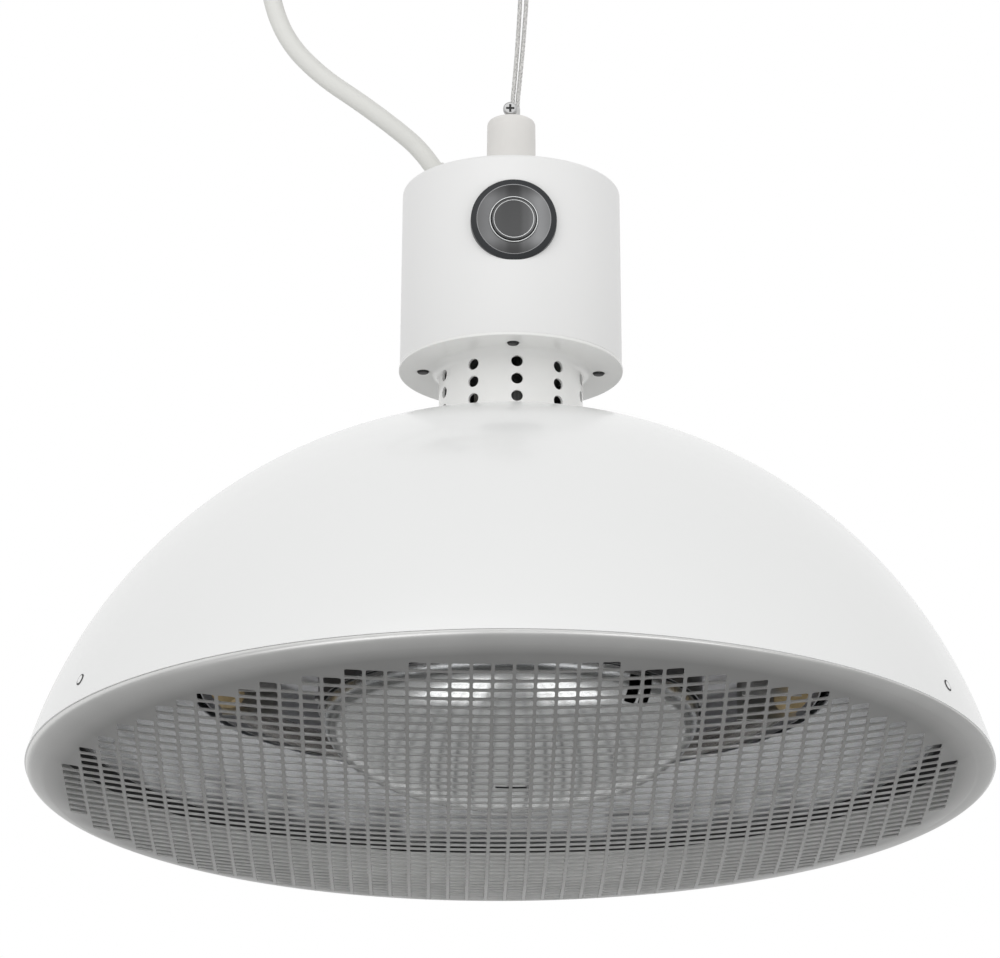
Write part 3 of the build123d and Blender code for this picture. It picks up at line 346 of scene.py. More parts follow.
# %% [markdown]
# ## Helpers for materials
# Every finish is a small node tree on Object coordinates. Two scales of noise are enough for
# most: a wide one that shifts the colour or the gloss slightly, and a fine one for the bump.

# %% Material helpers
NOISE_SPAN = (0.3, 0.7)
GLOSS_SWING = 0.08


def ranged(tree, value, source, target, **settings):
    """A value between two limits, brought between two others."""
    return add_node(tree, "ShaderNodeMapRange", {
        "Value": value, "From Min": source[0], "From Max": source[1],
        "To Min": target[0], "To Max": target[1]}, **settings)


def material(name, colour, metallic, roughness, mottle, mottle_scale, grain=0.0, grain_scale=900,
             specular=0.5, coat=0.0, coat_roughness=0.1, transmission=0.0, ior=1.45, sheen=0.0):
    """A Principled finish. Mottle is the swing of the colour's noise, grain the bump in mm."""
    made = bpy.data.materials.new(name)
    made.use_nodes = True
    tree = made.node_tree
    shader = tree.nodes["Principled BSDF"]
    plain = {"Metallic": metallic, "Specular IOR Level": specular, "Coat Weight": coat,
             "Coat Roughness": coat_roughness, "Transmission Weight": transmission, "IOR": ior,
             "Sheen Weight": sheen}
    for key, value in plain.items():
        shader.inputs[key].default_value = value
    place = add_node(tree, "ShaderNodeTexCoord", out="Object")
    wide = add_node(tree, "ShaderNodeTexNoise", {
        "Vector": place, "Scale": mottle_scale, "Detail": 3})
    tint = ranged(tree, wide, NOISE_SPAN, (1 - mottle, 1.0))
    shade = add_node(tree, "ShaderNodeVectorMath", {0: colour, "Scale": tint}, operation="SCALE")
    tree.links.new(shade, shader.inputs["Base Color"])
    gloss = ranged(tree, wide, NOISE_SPAN, (max(0.02, roughness * (1 - GLOSS_SWING)),
                                            min(1.0, roughness * (1 + GLOSS_SWING))))
    tree.links.new(gloss, shader.inputs["Roughness"])
    if grain:
        fine = add_node(tree, "ShaderNodeTexNoise", {
            "Vector": place, "Scale": grain_scale, "Detail": 2})
        bump = add_node(tree, "ShaderNodeBump", {
            "Strength": 1.0, "Distance": grain / 1000, "Height": fine})
        tree.links.new(bump, shader.inputs["Normal"])
    return made


def paint_light_outwards(made, near, far, gain):
    """Painted light: the colour grows with the distance from the heater's axis."""
    tree = made.node_tree
    place = add_node(tree, "ShaderNodeTexCoord", out="Object")
    flat = add_node(tree, "ShaderNodeVectorMath", {0: place, 1: (1, 1, 0)}, operation="MULTIPLY")
    away = add_node(tree, "ShaderNodeVectorMath", {0: flat}, out="Value", operation="LENGTH")
    grown = ranged(tree, away, (mm(near), mm(far)), (1.0, gain))
    colour = tree.nodes["Principled BSDF"].inputs["Base Color"]
    scaled = add_node(tree, "ShaderNodeVectorMath", {
        0: colour.links[0].from_socket, "Scale": grown}, operation="SCALE")
    tree.links.new(scaled, colour)


def paint(piece, finish, chosen):
    """One more material, on the faces whose centre and normal pass a test."""
    piece.data.materials.append(finish)
    for face in piece.data.polygons:
        if chosen(face.center, face.normal):
            face.material_index = len(piece.data.materials) - 1


def wear(piece, finish):
    """One material over the whole piece."""
    piece.data.materials.clear()
    piece.data.materials.append(finish)
    return piece


# %% [markdown]
# ## The finishes
# White enamel on the dome and the housing, bare steel on the pan, polished metal behind it, and
# plastics and rubber above. Each is one call with its own numbers, so two finishes can be
# compared line by line. The pan's rolled edge gets a painted highlight and the lamp channel a
# painted reflection: their colour grows with the distance from the axis.

# %% Finishes
# After the colour: metallic, roughness, mottle and its scale, grain and its scale
white_gloss = material("white_gloss_enamel", (0.84, 0.845, 0.84), 0, 0.25, 0.015, 7, 0.008, 380,
                       coat=0.25, coat_roughness=0.06)
white_satin = material("white_satin_enamel", (0.84, 0.84, 0.835), 0, 0.36, 0.015, 14, 0.015, 700)
# The collar's enamel is a little lighter than the dome's: painted light for its lit underside.
collar_enamel_painted_light = material("white_collar_enamel_painted_light", (0.88, 0.88, 0.865), 0, 0.16, 0.015, 14, 0.004, 500)
cavity_shade = material("painted_cavity_shade", (0.05, 0.05, 0.05), 0, 0.7, 0.2, 20, 0.05, 900)
seam_shadow = material("seam_shadow", (0.06, 0.06, 0.06), 0, 0.7, 0.1, 300, 0.01, 1500)
cap_plastic = material("warm_white_nylon", (0.79, 0.775, 0.75), 0, 0.45, 0.03, 60, 0.03, 1500)
cord_rubber = material("off_white_rubber", (0.76, 0.76, 0.73), 0, 0.5, 0.04, 40, 0.03, 1800)
grille_steel = material("satin_grille_steel", (0.355, 0.355, 0.35), 0.9, 0.42, 0.08, 30, 0.008,
                        1600)
# Painted highlight: the pan's rolled edge grows lighter towards its rim.
paint_light_outwards(grille_steel, 196, 211.5, 2.0)
hole_edge_highlight = material("painted_hole_edge_highlight", (0.68, 0.68, 0.67), 0.8, 0.4, 0.1, 200, 0.01, 1600)
reflector = material("bright_reflector", (0.8, 0.81, 0.81), 1, 0.21, 0.08, 22)
reflector_satin = material("satin_reflector", (0.93, 0.94, 0.96), 1, 0.24, 0.06, 30)
channel_metal = material("dark_channel_reflector", (0.36, 0.36, 0.37), 1, 0.3, 0.15, 30)
# Painted reflection: the lamp channel's colour grows lighter outwards, where its outer wall mirrors
# the bright ground below.
paint_light_outwards(channel_metal, 112, 132, 2.2)
steel = material("zinc_plated_steel", (0.58, 0.58, 0.57), 1, 0.32, 0.15, 120, 0.02, 1500)
screw_steel = material("bright_screw_steel", (0.5, 0.5, 0.5), 1, 0.38, 0.12, 600, 0.006, 3000)
rope_steel = material("rope_wire", (0.74, 0.735, 0.72), 1, 0.38, 0.45, 1100, 0.02, 5000)
black_screw_and_cross_shade = material("black_screw_and_painted_cross_shade", (0.035, 0.035, 0.035), 0.6, 0.4, 0.2, 400, 0.01, 3000)
lens_edge = material("smoked_lens_edge", (0.035, 0.037, 0.04), 0, 0.3, 0.15, 60, specular=0.25)
lens_line = material("moulded_lens_line", (0.36, 0.36, 0.37), 0, 0.4, 0.05, 200)
silver_ring = material("silver_ring", (0.62, 0.63, 0.63), 1, 0.34, 0.05, 200)
black_plastic = material("black_nylon", (0.035, 0.035, 0.036), 0, 0.48, 0.15, 200, 0.03, 1800)
cream_plastic = material("cream_nylon", (0.7, 0.67, 0.56), 0, 0.45, 0.06, 150, 0.03, 1800)
board_green = material("green_circuit_board", (0.03, 0.19, 0.08), 0, 0.35, 0.3, 300, 0.02, 1200)
pin_brass = material("nickel_brass_pins", (0.72, 0.66, 0.52), 1, 0.25, 0.08, 200, 0.008, 2500)
quartz = material("tinted_quartz", (0.72, 0.7, 0.67), 0, 0.05, 0.1, 60, transmission=0.9, ior=1.46)
filament = material("carbon_filament", (0.05, 0.045, 0.04), 0.4, 0.5, 0.2, 500, 0.02, 3000)
lamp_ceramic = material("lamp_ceramic", (0.52, 0.4, 0.22), 0, 0.6, 0.3, 120, 0.06, 1200)
lead_sleeve = material("braided_glass_sleeve", (0.72, 0.7, 0.62), 0, 0.8, 0.15, 900, 0.15, 1600,
                       sheen=0.2)
print("finishes", len(bpy.data.materials))

# %% [markdown]
# The smoked lens and its button carry a painted reflection: darkest in a narrow upright band,
# lighter to both sides, and fading again above and below. A ramp over X and one over the height
# give both.

# %% Smoked plastic with a painted reflection
LENS_Z = 240.253
LENS_HEIGHT = at(0, 0, LENS_Z).z
RAMP_REACH = 20  # mm to each side of the middle


def smoked(name, tones, fade, roughness):
    """Painted reflection: tones are (x in mm, grey); fade is (first height, last height, share
    left) off the middle.
    """
    made = material(name, (1, 1, 1), 0, roughness, 0.06, 90, specular=0.35)
    tree = made.node_tree
    place = add_node(tree, "ShaderNodeTexCoord", out="Object")
    parts = add_node(tree, "ShaderNodeSeparateXYZ", {0: place}).node.outputs
    across = ranged(tree, parts["X"], (mm(-RAMP_REACH), mm(RAMP_REACH)), (0.0, 1.0))
    ramp = add_node(tree, "ShaderNodeValToRGB", {"Fac": across})
    ramp.node.color_ramp.interpolation = "EASE"
    marks = ramp.node.color_ramp.elements
    while len(marks) < len(tones):
        marks.new(0.5)
    for mark, (x, grey) in zip(marks, tones):
        mark.position = (x + RAMP_REACH) / (2 * RAMP_REACH)
        mark.color = (grey, grey * 1.01, grey * 1.03, 1)
    above = add_node(tree, "ShaderNodeMath", {0: parts["Z"], 1: LENS_HEIGHT}, operation="SUBTRACT")
    off = add_node(tree, "ShaderNodeMath", {0: above}, operation="ABSOLUTE")
    left = ranged(tree, off, (mm(fade[0]), mm(fade[1])), (1.0, fade[2]),
                  interpolation_type="SMOOTHSTEP")
    tone = add_node(tree, "ShaderNodeVectorMath", {0: ramp, "Scale": left}, operation="SCALE")
    tree.links.new(tone, tree.nodes["Principled BSDF"].inputs["Base Color"])
    return made


lens_plastic = smoked("smoked_lens_painted_reflection", [
    (-17, 0.15), (-10, 0.20), (-5, 0.15), (-1.5, 0.085), (1.5, 0.085), (5, 0.17), (11, 0.27),
    (17, 0.20)], (8.5, 15.5, 0.42), 0.34)
button_plastic = smoked("smoked_button_painted_reflection", [
    (-9, 0.08), (-3, 0.07), (2.5, 0.07), (5, 0.10), (9, 0.14)], (7.0, 10.0, 0.8), 0.34)

# %% [markdown]
# ## The power cord
# A mains lead leaves the housing's top through a tapered relief and rises to the left. What the
# picture doesn't show is wound into a tidy coil of five turns beside the rope, and ends in a
# plug. It is one smooth NURBS line: a few listed points, then more points for each turn.

# %% Power cord, coil and tail as one line
CORD_DIAMETER = 8.4
COIL_X, COIL_Z = -41.5, 443.0
TURN_SMALL, TURN_LARGE = 41.75, 50.15
LAYERS = (5.8, 14.2, 22.6)
POINTS_PER_TURN = 18

rise = [
    (-34.4, 22.0, 291.55), (-40.2, 22.0, 300.55), (-51.2, 22.0, 310.55), (-68.0, 22.0, 323.75),
    (-87.0, 22.0, 336.95), (-102.5, 21.3, 353.45), (-110.5, 19.5, 374.45), (-111.8, 16.5, 397.45),
    (-108.0, 13.0, 420.45), (-100.5, 9.8, 441.45), (-90.5, 7.0, 458.5),
]
tail = [
    (-37.5, 22.6, 484.65), (-26.0, 24.0, 482.35), (-15.5, 30.0, 475.75), (-8.0, 36.5, 466.45),
    (-3.9, 39.0, 456.95), (-0.5, 39.0, 449.15),
]
# Where the turns change ring or layer: angle from +X, ring radius, depth
coil_stations = [
    (147, TURN_LARGE, LAYERS[0]), (-170, TURN_LARGE, LAYERS[0]), (-205, TURN_SMALL, LAYERS[0]),
    (-490, TURN_SMALL, LAYERS[0]), (-530, TURN_SMALL, LAYERS[1]), (-810, TURN_SMALL, LAYERS[1]),
    (-850, TURN_LARGE, LAYERS[1]), (-1130, TURN_LARGE, LAYERS[1]), (-1170, TURN_LARGE, LAYERS[2]),
    (-1490, TURN_LARGE, LAYERS[2]), (-1530, TURN_SMALL, LAYERS[2]), (-1705, TURN_SMALL, LAYERS[2]),
]


def coil_point(angle):
    """A point of the winding, a little outside the turn because the line cuts its corners."""
    for (a0, r0, y0), (a1, r1, y1) in zip(coil_stations, coil_stations[1:]):
        if a1 <= angle <= a0:
            share = (a0 - angle) / (a0 - a1)
            outside = 1 / math.cos(math.pi / POINTS_PER_TURN)
            radius = (r0 + (r1 - r0) * share) * outside
            bearing = math.radians(angle)
            return (COIL_X + radius * math.cos(bearing), y0 + (y1 - y0) * share,
                    COIL_Z + radius * math.sin(bearing))
    return None


coil_turn_count = (coil_stations[0][0] - coil_stations[-1][0]) / 360
coil_steps = round(coil_turn_count * POINTS_PER_TURN)
coil_angles = [coil_stations[0][0] - i * 360 * coil_turn_count / coil_steps
               for i in range(coil_steps + 1)]
cord_points = rise + [coil_point(a) for a in coil_angles] + tail


def nurbs_line(name, points, radius, sides=6):
    """A smooth open line through space with the points as its control points."""
    data = bpy.data.curves.new(name, "CURVE")
    data.dimensions = "3D"
    spline = data.splines.new("NURBS")
    spline.points.add(len(points) - 1)
    for target, point in zip(spline.points, points):
        target.co = (*at(*point), 1)
    spline.order_u = 3
    spline.use_endpoint_u = True
    spline.resolution_u = 8
    data.bevel_depth = mm(radius)
    data.bevel_resolution = sides
    data.use_fill_caps = True
    return new_object(name, data)


power_lead = nurbs_line("power_lead", cord_points, CORD_DIAMETER / 2)
power_lead.data.materials.append(cord_rubber)
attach(power_lead, "heater")
print("cord points", len(cord_points), "coil turns", round(coil_turn_count, 2))

# %% [markdown]
# ## The plug
# A round moulded plug lies on the coil's back, its pins to the rear. The body is turned, the
# neck is a cone with grip rings, and the pins are turned brass with sleeves.

# %% Plug
tail_end = Vector(tail[-1])
lead_way = (Vector(tail[-2]) - tail_end).normalized()
lead_way.y = 0
lead_way.normalize()
PLUG_RADIUS, PLUG_THICK, NECK_REACH = 19.5, 20.0, 38.5
plug_centre = tail_end - lead_way * NECK_REACH


def neck_ring(distance, radius, segments=40):
    """One ring of the plug's neck, across the way to the cord."""
    side = Vector((0, 1, 0))
    other = lead_way.cross(side)
    centre = plug_centre + lead_way * distance
    turns = [2 * math.pi * i / segments for i in range(segments)]
    return [centre + radius * (math.cos(t) * side + math.sin(t) * other) for t in turns]


half = PLUG_THICK / 2
body_profile = rounded([
    (0, -half), (PLUG_RADIUS - 1.5, -half, 2.0), (PLUG_RADIUS, 0, 30),
    (PLUG_RADIUS - 1.5, half, 2.0), (15.8, half, 0.5), (15.2, half - 1.2, 0.5),
    (11.8, half - 1.2, 0.5), (11.2, half, 0.5), (0, half)])
plug_disc = turned("plug_disc", body_profile, 96, tuple(plug_centre), axis="Y")
neck = []
for i in range(41):
    distance = 10 + (NECK_REACH - 10) * i / 40
    radius = 9.5 + (6.6 - 9.5) * (i / 40) ** 0.8
    if 16 <= i <= 37 and i % 4 in (2, 3):
        radius -= 0.8
    neck.append(neck_ring(distance, radius))
plug_neck = skinned("plug_neck", neck, capped=True, sharp=40)
plug = wear(joined("mains_plug", [plug_disc, plug_neck]), cord_rubber)
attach(plug, "heater")
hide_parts("plug_body")
side_way = Vector((0, 1, 0)).cross(lead_way)
pins = []
for side in (-1, 1):
    centre = plug_centre + side_way * side * 5.2
    pin_profile = rounded([(0, half - 1), (2.4, half - 1), (2.4, half + 19, 1.6), (0, half + 19)])
    pins.append(turned("pin", pin_profile, 32, tuple(centre), axis="Y"))
plug_pins = wear(joined("mains_pins", pins), pin_brass)
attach(plug_pins, "heater")
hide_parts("plug_pins")
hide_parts("power_cord", "cord_coil", "cord_tail")

# %% [markdown]
# ## The wire rope
# A thin steel rope goes up from a stud on the cap, over the lower bar of the quick link, and
# back down. Six lobes on its section, turned steadily along the line, give the laid strands.

# %% Wire rope
rope_sides = [
    (0.4, 2.7, 307.85), (0.395, 2.705, 314.8), (1.31, 3.69, 324.8), (2.81, 5.39, 343.8),
    (4.32, 7.28, 371.8), (4.5, 8.1, 402.8), (2.93, 7.47, 439.8), (-0.73, 5.13, 473.8),
    (-3.8, 3.8, 495.95), (-3.8, 3.8, 508.8),
]
rope_line = [(x, 0, z) for x, _, z in rope_sides] + [(x, 0, z) for _, x, z in reversed(rope_sides)]
ROPE_RADIUS, ROPE_LAY, ROPE_STRANDS = 1.0, 13.0, 6
ROPE_STEP, ROPE_SIDES, LOBE_SHARE = 0.8, 36, 0.24
rope_guide = nurbs_line("rope_guide", rope_line, 0)
rope_guide.data.use_fill_caps = False
rope_tree = Tree("laid_rope", [
    ("Radius", "Float", mm(ROPE_RADIUS)), ("Lay length", "Float", mm(ROPE_LAY)),
    ("Strands", "Int", ROPE_STRANDS), ("Material", "Material", None)])
add, calc, given = rope_tree.add, rope_tree.math, rope_tree.input
line = add("GeometryNodeResampleCurve", {
    "Curve": given("Geometry"), "Length": mm(ROPE_STEP)}, mode="LENGTH")
run = add("GeometryNodeSplineParameter", out="Length")
twist = calc("MULTIPLY", calc("DIVIDE", run, given("Lay length")), 2 * math.pi)
line = add("GeometryNodeSetCurveTilt", {"Curve": line, "Tilt": twist})
ring = add("GeometryNodeCurvePrimitiveCircle", {
    "Resolution": ROPE_SIDES, "Radius": given("Radius")}, mode="RADIUS")
index = add("GeometryNodeInputIndex")
phase = calc("MULTIPLY", calc("MULTIPLY", index, math.pi / ROPE_SIDES), given("Strands"))
lobe = calc("POWER", calc("ABSOLUTE", calc("SINE", phase)), 0.6)
swell = calc("ADD", calc("MULTIPLY", lobe, LOBE_SHARE), 1 - LOBE_SHARE)
place = add("GeometryNodeInputPosition")
swollen = add("ShaderNodeVectorMath", {0: place, "Scale": swell}, operation="SCALE")
ring = add("GeometryNodeSetPosition", {"Geometry": ring, "Position": swollen})
strands = add("GeometryNodeCurveToMesh", {"Curve": line, "Profile Curve": ring, "Fill Caps": True})
rope_tree.end(strands, given("Material"))

depsgraph = bpy.context.evaluated_depsgraph_get()
guide_mesh = bpy.data.meshes.new_from_object(rope_guide.evaluated_get(depsgraph),
                                             depsgraph=depsgraph)
rope_path = [tuple(v.co) for v in guide_mesh.vertices]
wire_rope = baked("steel_rope", rope_tree, {"Material": rope_steel}, host=rope_guide)
rope_length = sum((Vector(a) - Vector(b)).length for a, b in zip(rope_path, rope_path[1:]))
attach(wire_rope, "heater")
tuple(at(*rope_line[0]))
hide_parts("wire_rope")
print("rope length", round(rope_length, 4), "path points", len(rope_path))

# %% [markdown]
# ## Ties on the coil
# Three black hook and loop straps keep the turns together, and the right one also holds the
# rope. Each is a flat band round the section with softly rounded corners.

# %% Coil ties


def band(angle, front, width=12.0, thick=1.2, slack=0.6, corner=2.6):
    """A flat strap round the coil's section at an angle round the ring."""
    middle = (TURN_SMALL + TURN_LARGE) / 2
    across = (TURN_LARGE - TURN_SMALL + CORD_DIAMETER) / 2 + slack
    low, back = front - slack, LAYERS[2] + CORD_DIAMETER / 2 + slack
    bearing = math.radians(angle)
    radial = Vector((math.cos(bearing), 0, math.sin(bearing)))
    along = Vector((-math.sin(bearing), 0, math.cos(bearing)))
    hub = Vector((COIL_X, (back + low) / 2, COIL_Z))
    rows = []
    for grow, edge in ((0, -width / 2), (0, width / 2), (thick, width / 2), (thick, -width / 2)):
        row = []
        for side_u, side_v, start in ((1, 1, 0), (-1, 1, 90), (-1, -1, 180), (1, -1, 270)):
            for k in range(7):
                t = math.radians(start + 15 * k)
                u = middle + side_u * (across - corner) + (corner + grow) * math.cos(t)
                v = side_v * ((back - low) / 2 - corner) + (corner + grow) * math.sin(t)
                row.append(hub + radial * u + along * edge + Vector((0, v, 0)))
        rows.append(row)
    return skinned("strap", rows, closed=True, sharp=None)


coil_front = LAYERS[0] - CORD_DIAMETER / 2
straps = [band(0, -1.0), band(115, coil_front), band(245, coil_front)]
coil_straps = wear(joined("coil_straps", straps), black_plastic)
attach(coil_straps, "heater")
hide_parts("coil_ties")

# %% [markdown]
# ## The dome
# One sheet of steel spun to part of a sphere, enamelled white and glossy. A lathe profile of
# both faces with a rounded edge keeps its true thickness at the rim, where the eye sees it.

# %% Dome
SPHERE_RADIUS, SPHERE_SHEET, RIM_RADIUS = 221.501, 1.0, 212.5
SPHERE_Z = -math.sqrt(SPHERE_RADIUS**2 - RIM_RADIUS**2)
rim_inner = math.sqrt((SPHERE_RADIUS - SPHERE_SHEET) ** 2 - SPHERE_Z**2)
outside = arc(SPHERE_RADIUS, SPHERE_Z, 24.0, RIM_RADIUS - 0.02, 72)
inside = arc(SPHERE_RADIUS - SPHERE_SHEET, SPHERE_Z, rim_inner + 0.02, 24.0, 72)
edge = [Vector((RIM_RADIUS - 0.25, -0.0)), Vector((rim_inner + 0.3, -0.0))]


def over_dome(point):
    """How far a point lies outside the dome's outer face."""
    return (point - at(0, 0, SPHERE_Z)).length - mm(SPHERE_RADIUS)


dome = turned("dome_sheet", outside + edge + inside, 288, sharp=60)
wear(dome, white_gloss)
# Painted shade: the dome's inner faces are dark, for the shade in the cavity behind the pan.
paint(dome, cavity_shade, lambda centre, _: over_dome(centre) < mm(-0.6))
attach(dome, "heater")
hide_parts("shade")

# %% [markdown]
# Four white rivets hold the pan in the dome. They aren't evenly placed, so a short loop sets
# each one along the sphere's own normal, instead of a ring of equal steps. The thin gap round a
# head is dark on the real one, and the faces near the dome's surface get that shadow.

# %% Rim rivets
RIVET_HEIGHT, RIVET_AZIMUTH, RIVET_SLIP = 11.2, 61.4, 0.8
lean = math.asin((RIVET_HEIGHT - SPHERE_Z) / SPHERE_RADIUS)
rivet_profile = rounded([(0, -3.0), (1.6, -3.0), (1.6, 0.03), (2.7, 0.03, 0.1), (2.65, 0.22, 0.08),
                         (1.96, 0.24), (1.94, 0.24), (1.9, 0.36, 0.08), (0, 0.42)], 4)
rivets = []
for azimuth in (RIVET_AZIMUTH, 180 - RIVET_AZIMUTH, -RIVET_AZIMUTH - RIVET_SLIP,
                RIVET_AZIMUTH - 180):
    one = turned("rivet", rivet_profile, 32)
    flat = math.radians(azimuth - 90)
    outward = Vector((math.cos(lean) * math.cos(flat), math.cos(lean) * math.sin(flat),
                      math.sin(lean)))
    foot = at(*(Vector((0, 0, SPHERE_Z)) + outward * SPHERE_RADIUS))
    turn_to = outward.to_track_quat("Z", "Y").to_matrix().to_4x4()
    one.data.transform(Matrix.Translation(foot) @ turn_to @ Matrix.Translation(-at(0, 0, 0)))
    rivets.append(one)
rim_rivets = wear(joined("dome_rivets", rivets), white_gloss)
paint(rim_rivets, seam_shadow, lambda centre, _: mm(-0.05) < over_dome(centre) < mm(0.32))
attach(rim_rivets, "heater")
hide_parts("rim_rivets")

# %% [markdown]
# ## The perforated pan
# The lower side is a thin steel pan. Its bulge is punched with a straight grid of almost square
# holes inside an oval, its edge is rolled, and a short wall stands inside the dome. One tree
# makes the punched sheet: outlines of the holes and of the sheet go into Fill Curve, the flat
# result is bent to the bulge and then given its thickness. The rolled edge is a turned profile.

# %% Perforated sheet
PITCH, SLOT, SLOT_CORNER = 8.855, 7.45, 1.1
COLUMNS, ROWS = 44, 43
OVAL_A, OVAL_B = 199.3, 195.9
PAN_SHEET, PAN_DEPTH, PAN_BULGE = 0.8, 23.0, 1165.0
SHEET_EDGE, RIM_STEPS = 204.0, 288
FLARE_FROM, FLARE = 192.0, 0.0004
SHEET_TURN, SHEET_X, SHEET_Y = math.radians(-0.73), -0.4, 1.7

punched = Tree("punched_sheet", [
    ("Pitch", "Float", mm(PITCH)), ("Slot", "Float", mm(SLOT)),
    ("Corner", "Float", mm(SLOT_CORNER)), ("Columns", "Int", COLUMNS),
    ("Rows", "Int", ROWS), ("Half width", "Float", mm(OVAL_A)),
    ("Half depth", "Float", mm(OVAL_B)),
    ("Edge radius", "Float", mm(SHEET_EDGE)),
    ("Bulge radius", "Float", mm(PAN_BULGE)),
    ("Bulge depth", "Float", mm(PAN_DEPTH)),
    ("Shift", "Vector", (mm(SHEET_X), mm(SHEET_Y), 0.0)),
    ("Turn", "Vector", (0.0, 0.0, SHEET_TURN)),
    ("Flare from", "Float", mm(FLARE_FROM)),
    ("Flare", "Float", FLARE * 1e6),
    ("Sheet", "Float", mm(PAN_SHEET)), ("Material", "Material", None)])
add, calc, given = punched.add, punched.math, punched.input
wide = calc("MULTIPLY", given("Pitch"), calc("SUBTRACT", given("Columns"), 1))
deep = calc("MULTIPLY", given("Pitch"), calc("SUBTRACT", given("Rows"), 1))
grid = add("GeometryNodeMeshGrid", {
    "Size X": wide, "Size Y": deep, "Vertices X": given("Columns"), "Vertices Y": given("Rows")})
spot = add("ShaderNodeSeparateXYZ", {0: add("GeometryNodeInputPosition")}).node.outputs
half_slot = calc("MULTIPLY", given("Slot"), 0.5)
reach_x = calc("ADD", calc("ABSOLUTE", spot["X"]), half_slot)
reach_y = calc("ADD", calc("ABSOLUTE", spot["Y"]), half_slot)
share_x = calc("POWER", calc("DIVIDE", reach_x, given("Half width")), 2)
share_y = calc("POWER", calc("DIVIDE", reach_y, given("Half depth")), 2)
beyond = calc("GREATER_THAN", calc("ADD", share_x, share_y), 1.0)
grid = add("GeometryNodeDeleteGeometry", {"Geometry": grid, "Selection": beyond}, domain="POINT")
square = add("GeometryNodeCurvePrimitiveQuadrilateral", {
    "Width": given("Slot"), "Height": given("Slot")}, mode="RECTANGLE")
square = add("GeometryNodeFilletCurve", {
    "Curve": square, "Radius": given("Corner"), "Count": 2}, mode="POLY")
holes = add("GeometryNodeInstanceOnPoints", {"Points": grid, "Instance": square})
holes = add("GeometryNodeRealizeInstances", {"Geometry": holes})
holes = add("GeometryNodeTransform", {
    "Geometry": holes, "Translation": given("Shift"), "Rotation": given("Turn")})
rim = add("GeometryNodeCurvePrimitiveCircle", {
    "Resolution": RIM_STEPS, "Radius": given("Edge radius")}, mode="RADIUS")
plate = add("GeometryNodeFillCurve", {"Curve": punched.join(holes, rim)}, mode="TRIANGLES")
place = add("GeometryNodeInputPosition")
away = add("ShaderNodeVectorMath", {0: place}, out="Value", operation="LENGTH")
square_left = calc("SUBTRACT", calc("POWER", given("Bulge radius"), 2), calc("POWER", away, 2))
sink = calc("SUBTRACT", calc("SUBTRACT", given("Bulge radius"), given("Bulge depth")),
            calc("SQRT", square_left))
flared = calc("MAXIMUM", calc("SUBTRACT", away, given("Flare from")), 0.0)
flared = calc("MULTIPLY", calc("POWER", flared, 3), given("Flare"))
lift = add("ShaderNodeCombineXYZ", {"Z": calc("ADD", sink, flared)})
plate = add("GeometryNodeSetPosition", {"Geometry": plate, "Offset": lift})
walls = add("GeometryNodeExtrudeMesh", {
    "Mesh": plate, "Offset": (0, 0, 1), "Offset Scale": given("Sheet"),
    "Individual": False}, mode="FACES")
back_side = add("GeometryNodeFlipFaces", {"Mesh": plate})
whole = add("GeometryNodeMergeByDistance", {
    "Geometry": punched.join(walls, back_side), "Distance": 0.00001})
punched.end(whole, given("Material"))
sheet = baked("punched", punched, {"Material": grille_steel})
sheet.data.transform(Matrix.Translation(at(0, 0, 0)))
print("punched sheet faces", len(sheet.data.polygons))

# %% [markdown]
# The oval of holes is a millimetre or two off the pan's centre and turned by less than a degree,
# as punched sheets are. From the outer holes on the bulge flares up, and without a visible line
# it becomes the rolled edge, so the light fades over it as it does on a pressed sheet.

# %% Rolled edge of the pan
cone_top, SEAM_BELOW_CENTRE = 204.9, 1146.95
PAN_LEAN, LEAN_DEPTH = 0.0095, 4.0


def flare_z(radius):
    """The height of the sheet's lower face, with the bulge and the flare."""
    bulge = PAN_BULGE - PAN_DEPTH - math.sqrt(PAN_BULGE**2 - radius**2)
    return bulge + FLARE * max(0.0, radius - FLARE_FROM) ** 3


def bend(points, steps):
    """A smooth run of points led by four others, as a Bezier curve."""
    p0, p1, p2, p3 = (Vector(p) for p in points)
    shares = [i / steps for i in range(steps + 1)]
    return [(1 - t)**3 * p0 + 3 * (1 - t)**2 * t * p1 + 3 * (1 - t) * t * t * p2 + t**3 * p3
            for t in shares]


seam_r = SHEET_EDGE - 0.3
seam_z = flare_z(seam_r)
seam_slope = seam_r / SEAM_BELOW_CENTRE + 3 * FLARE * (seam_r - FLARE_FROM) ** 2
edge_r = 211.9
outer_edge = bend([(seam_r, seam_z), (seam_r + 4.6, seam_z + 4.6 * seam_slope),
                   (edge_r + 0.35, -2.6), (edge_r, -0.12)], 28)
outer_edge += [Vector((edge_r - 0.7, 0.12)), Vector((210.2, 2.0)), Vector((cone_top, 18.0))]
inner_edge = [Vector((cone_top - 0.85, 18.0)), Vector((209.2, 2.4))]
inner_edge += bend([(edge_r - 1.35, -0.1), (edge_r - 0.8, -1.6),
                    (seam_r + 4.3, seam_z + 4.3 * seam_slope + 0.7), (seam_r, seam_z + 0.8)], 20)
rolled = turned("rolled_edge", outer_edge + inner_edge, RIM_STEPS, sharp=60)
pan = joined("grille_pan_sheet", [sheet, rolled])
wear(pan, grille_steel)
# Painted highlight: the hole walls get a lighter steel, where the sheet's thickness catches light.
paint(pan, hole_edge_highlight, lambda centre, normal: abs(normal.z) < 0.5
      and math.hypot(centre.x, centre.y) < mm(SHEET_EDGE - 1))
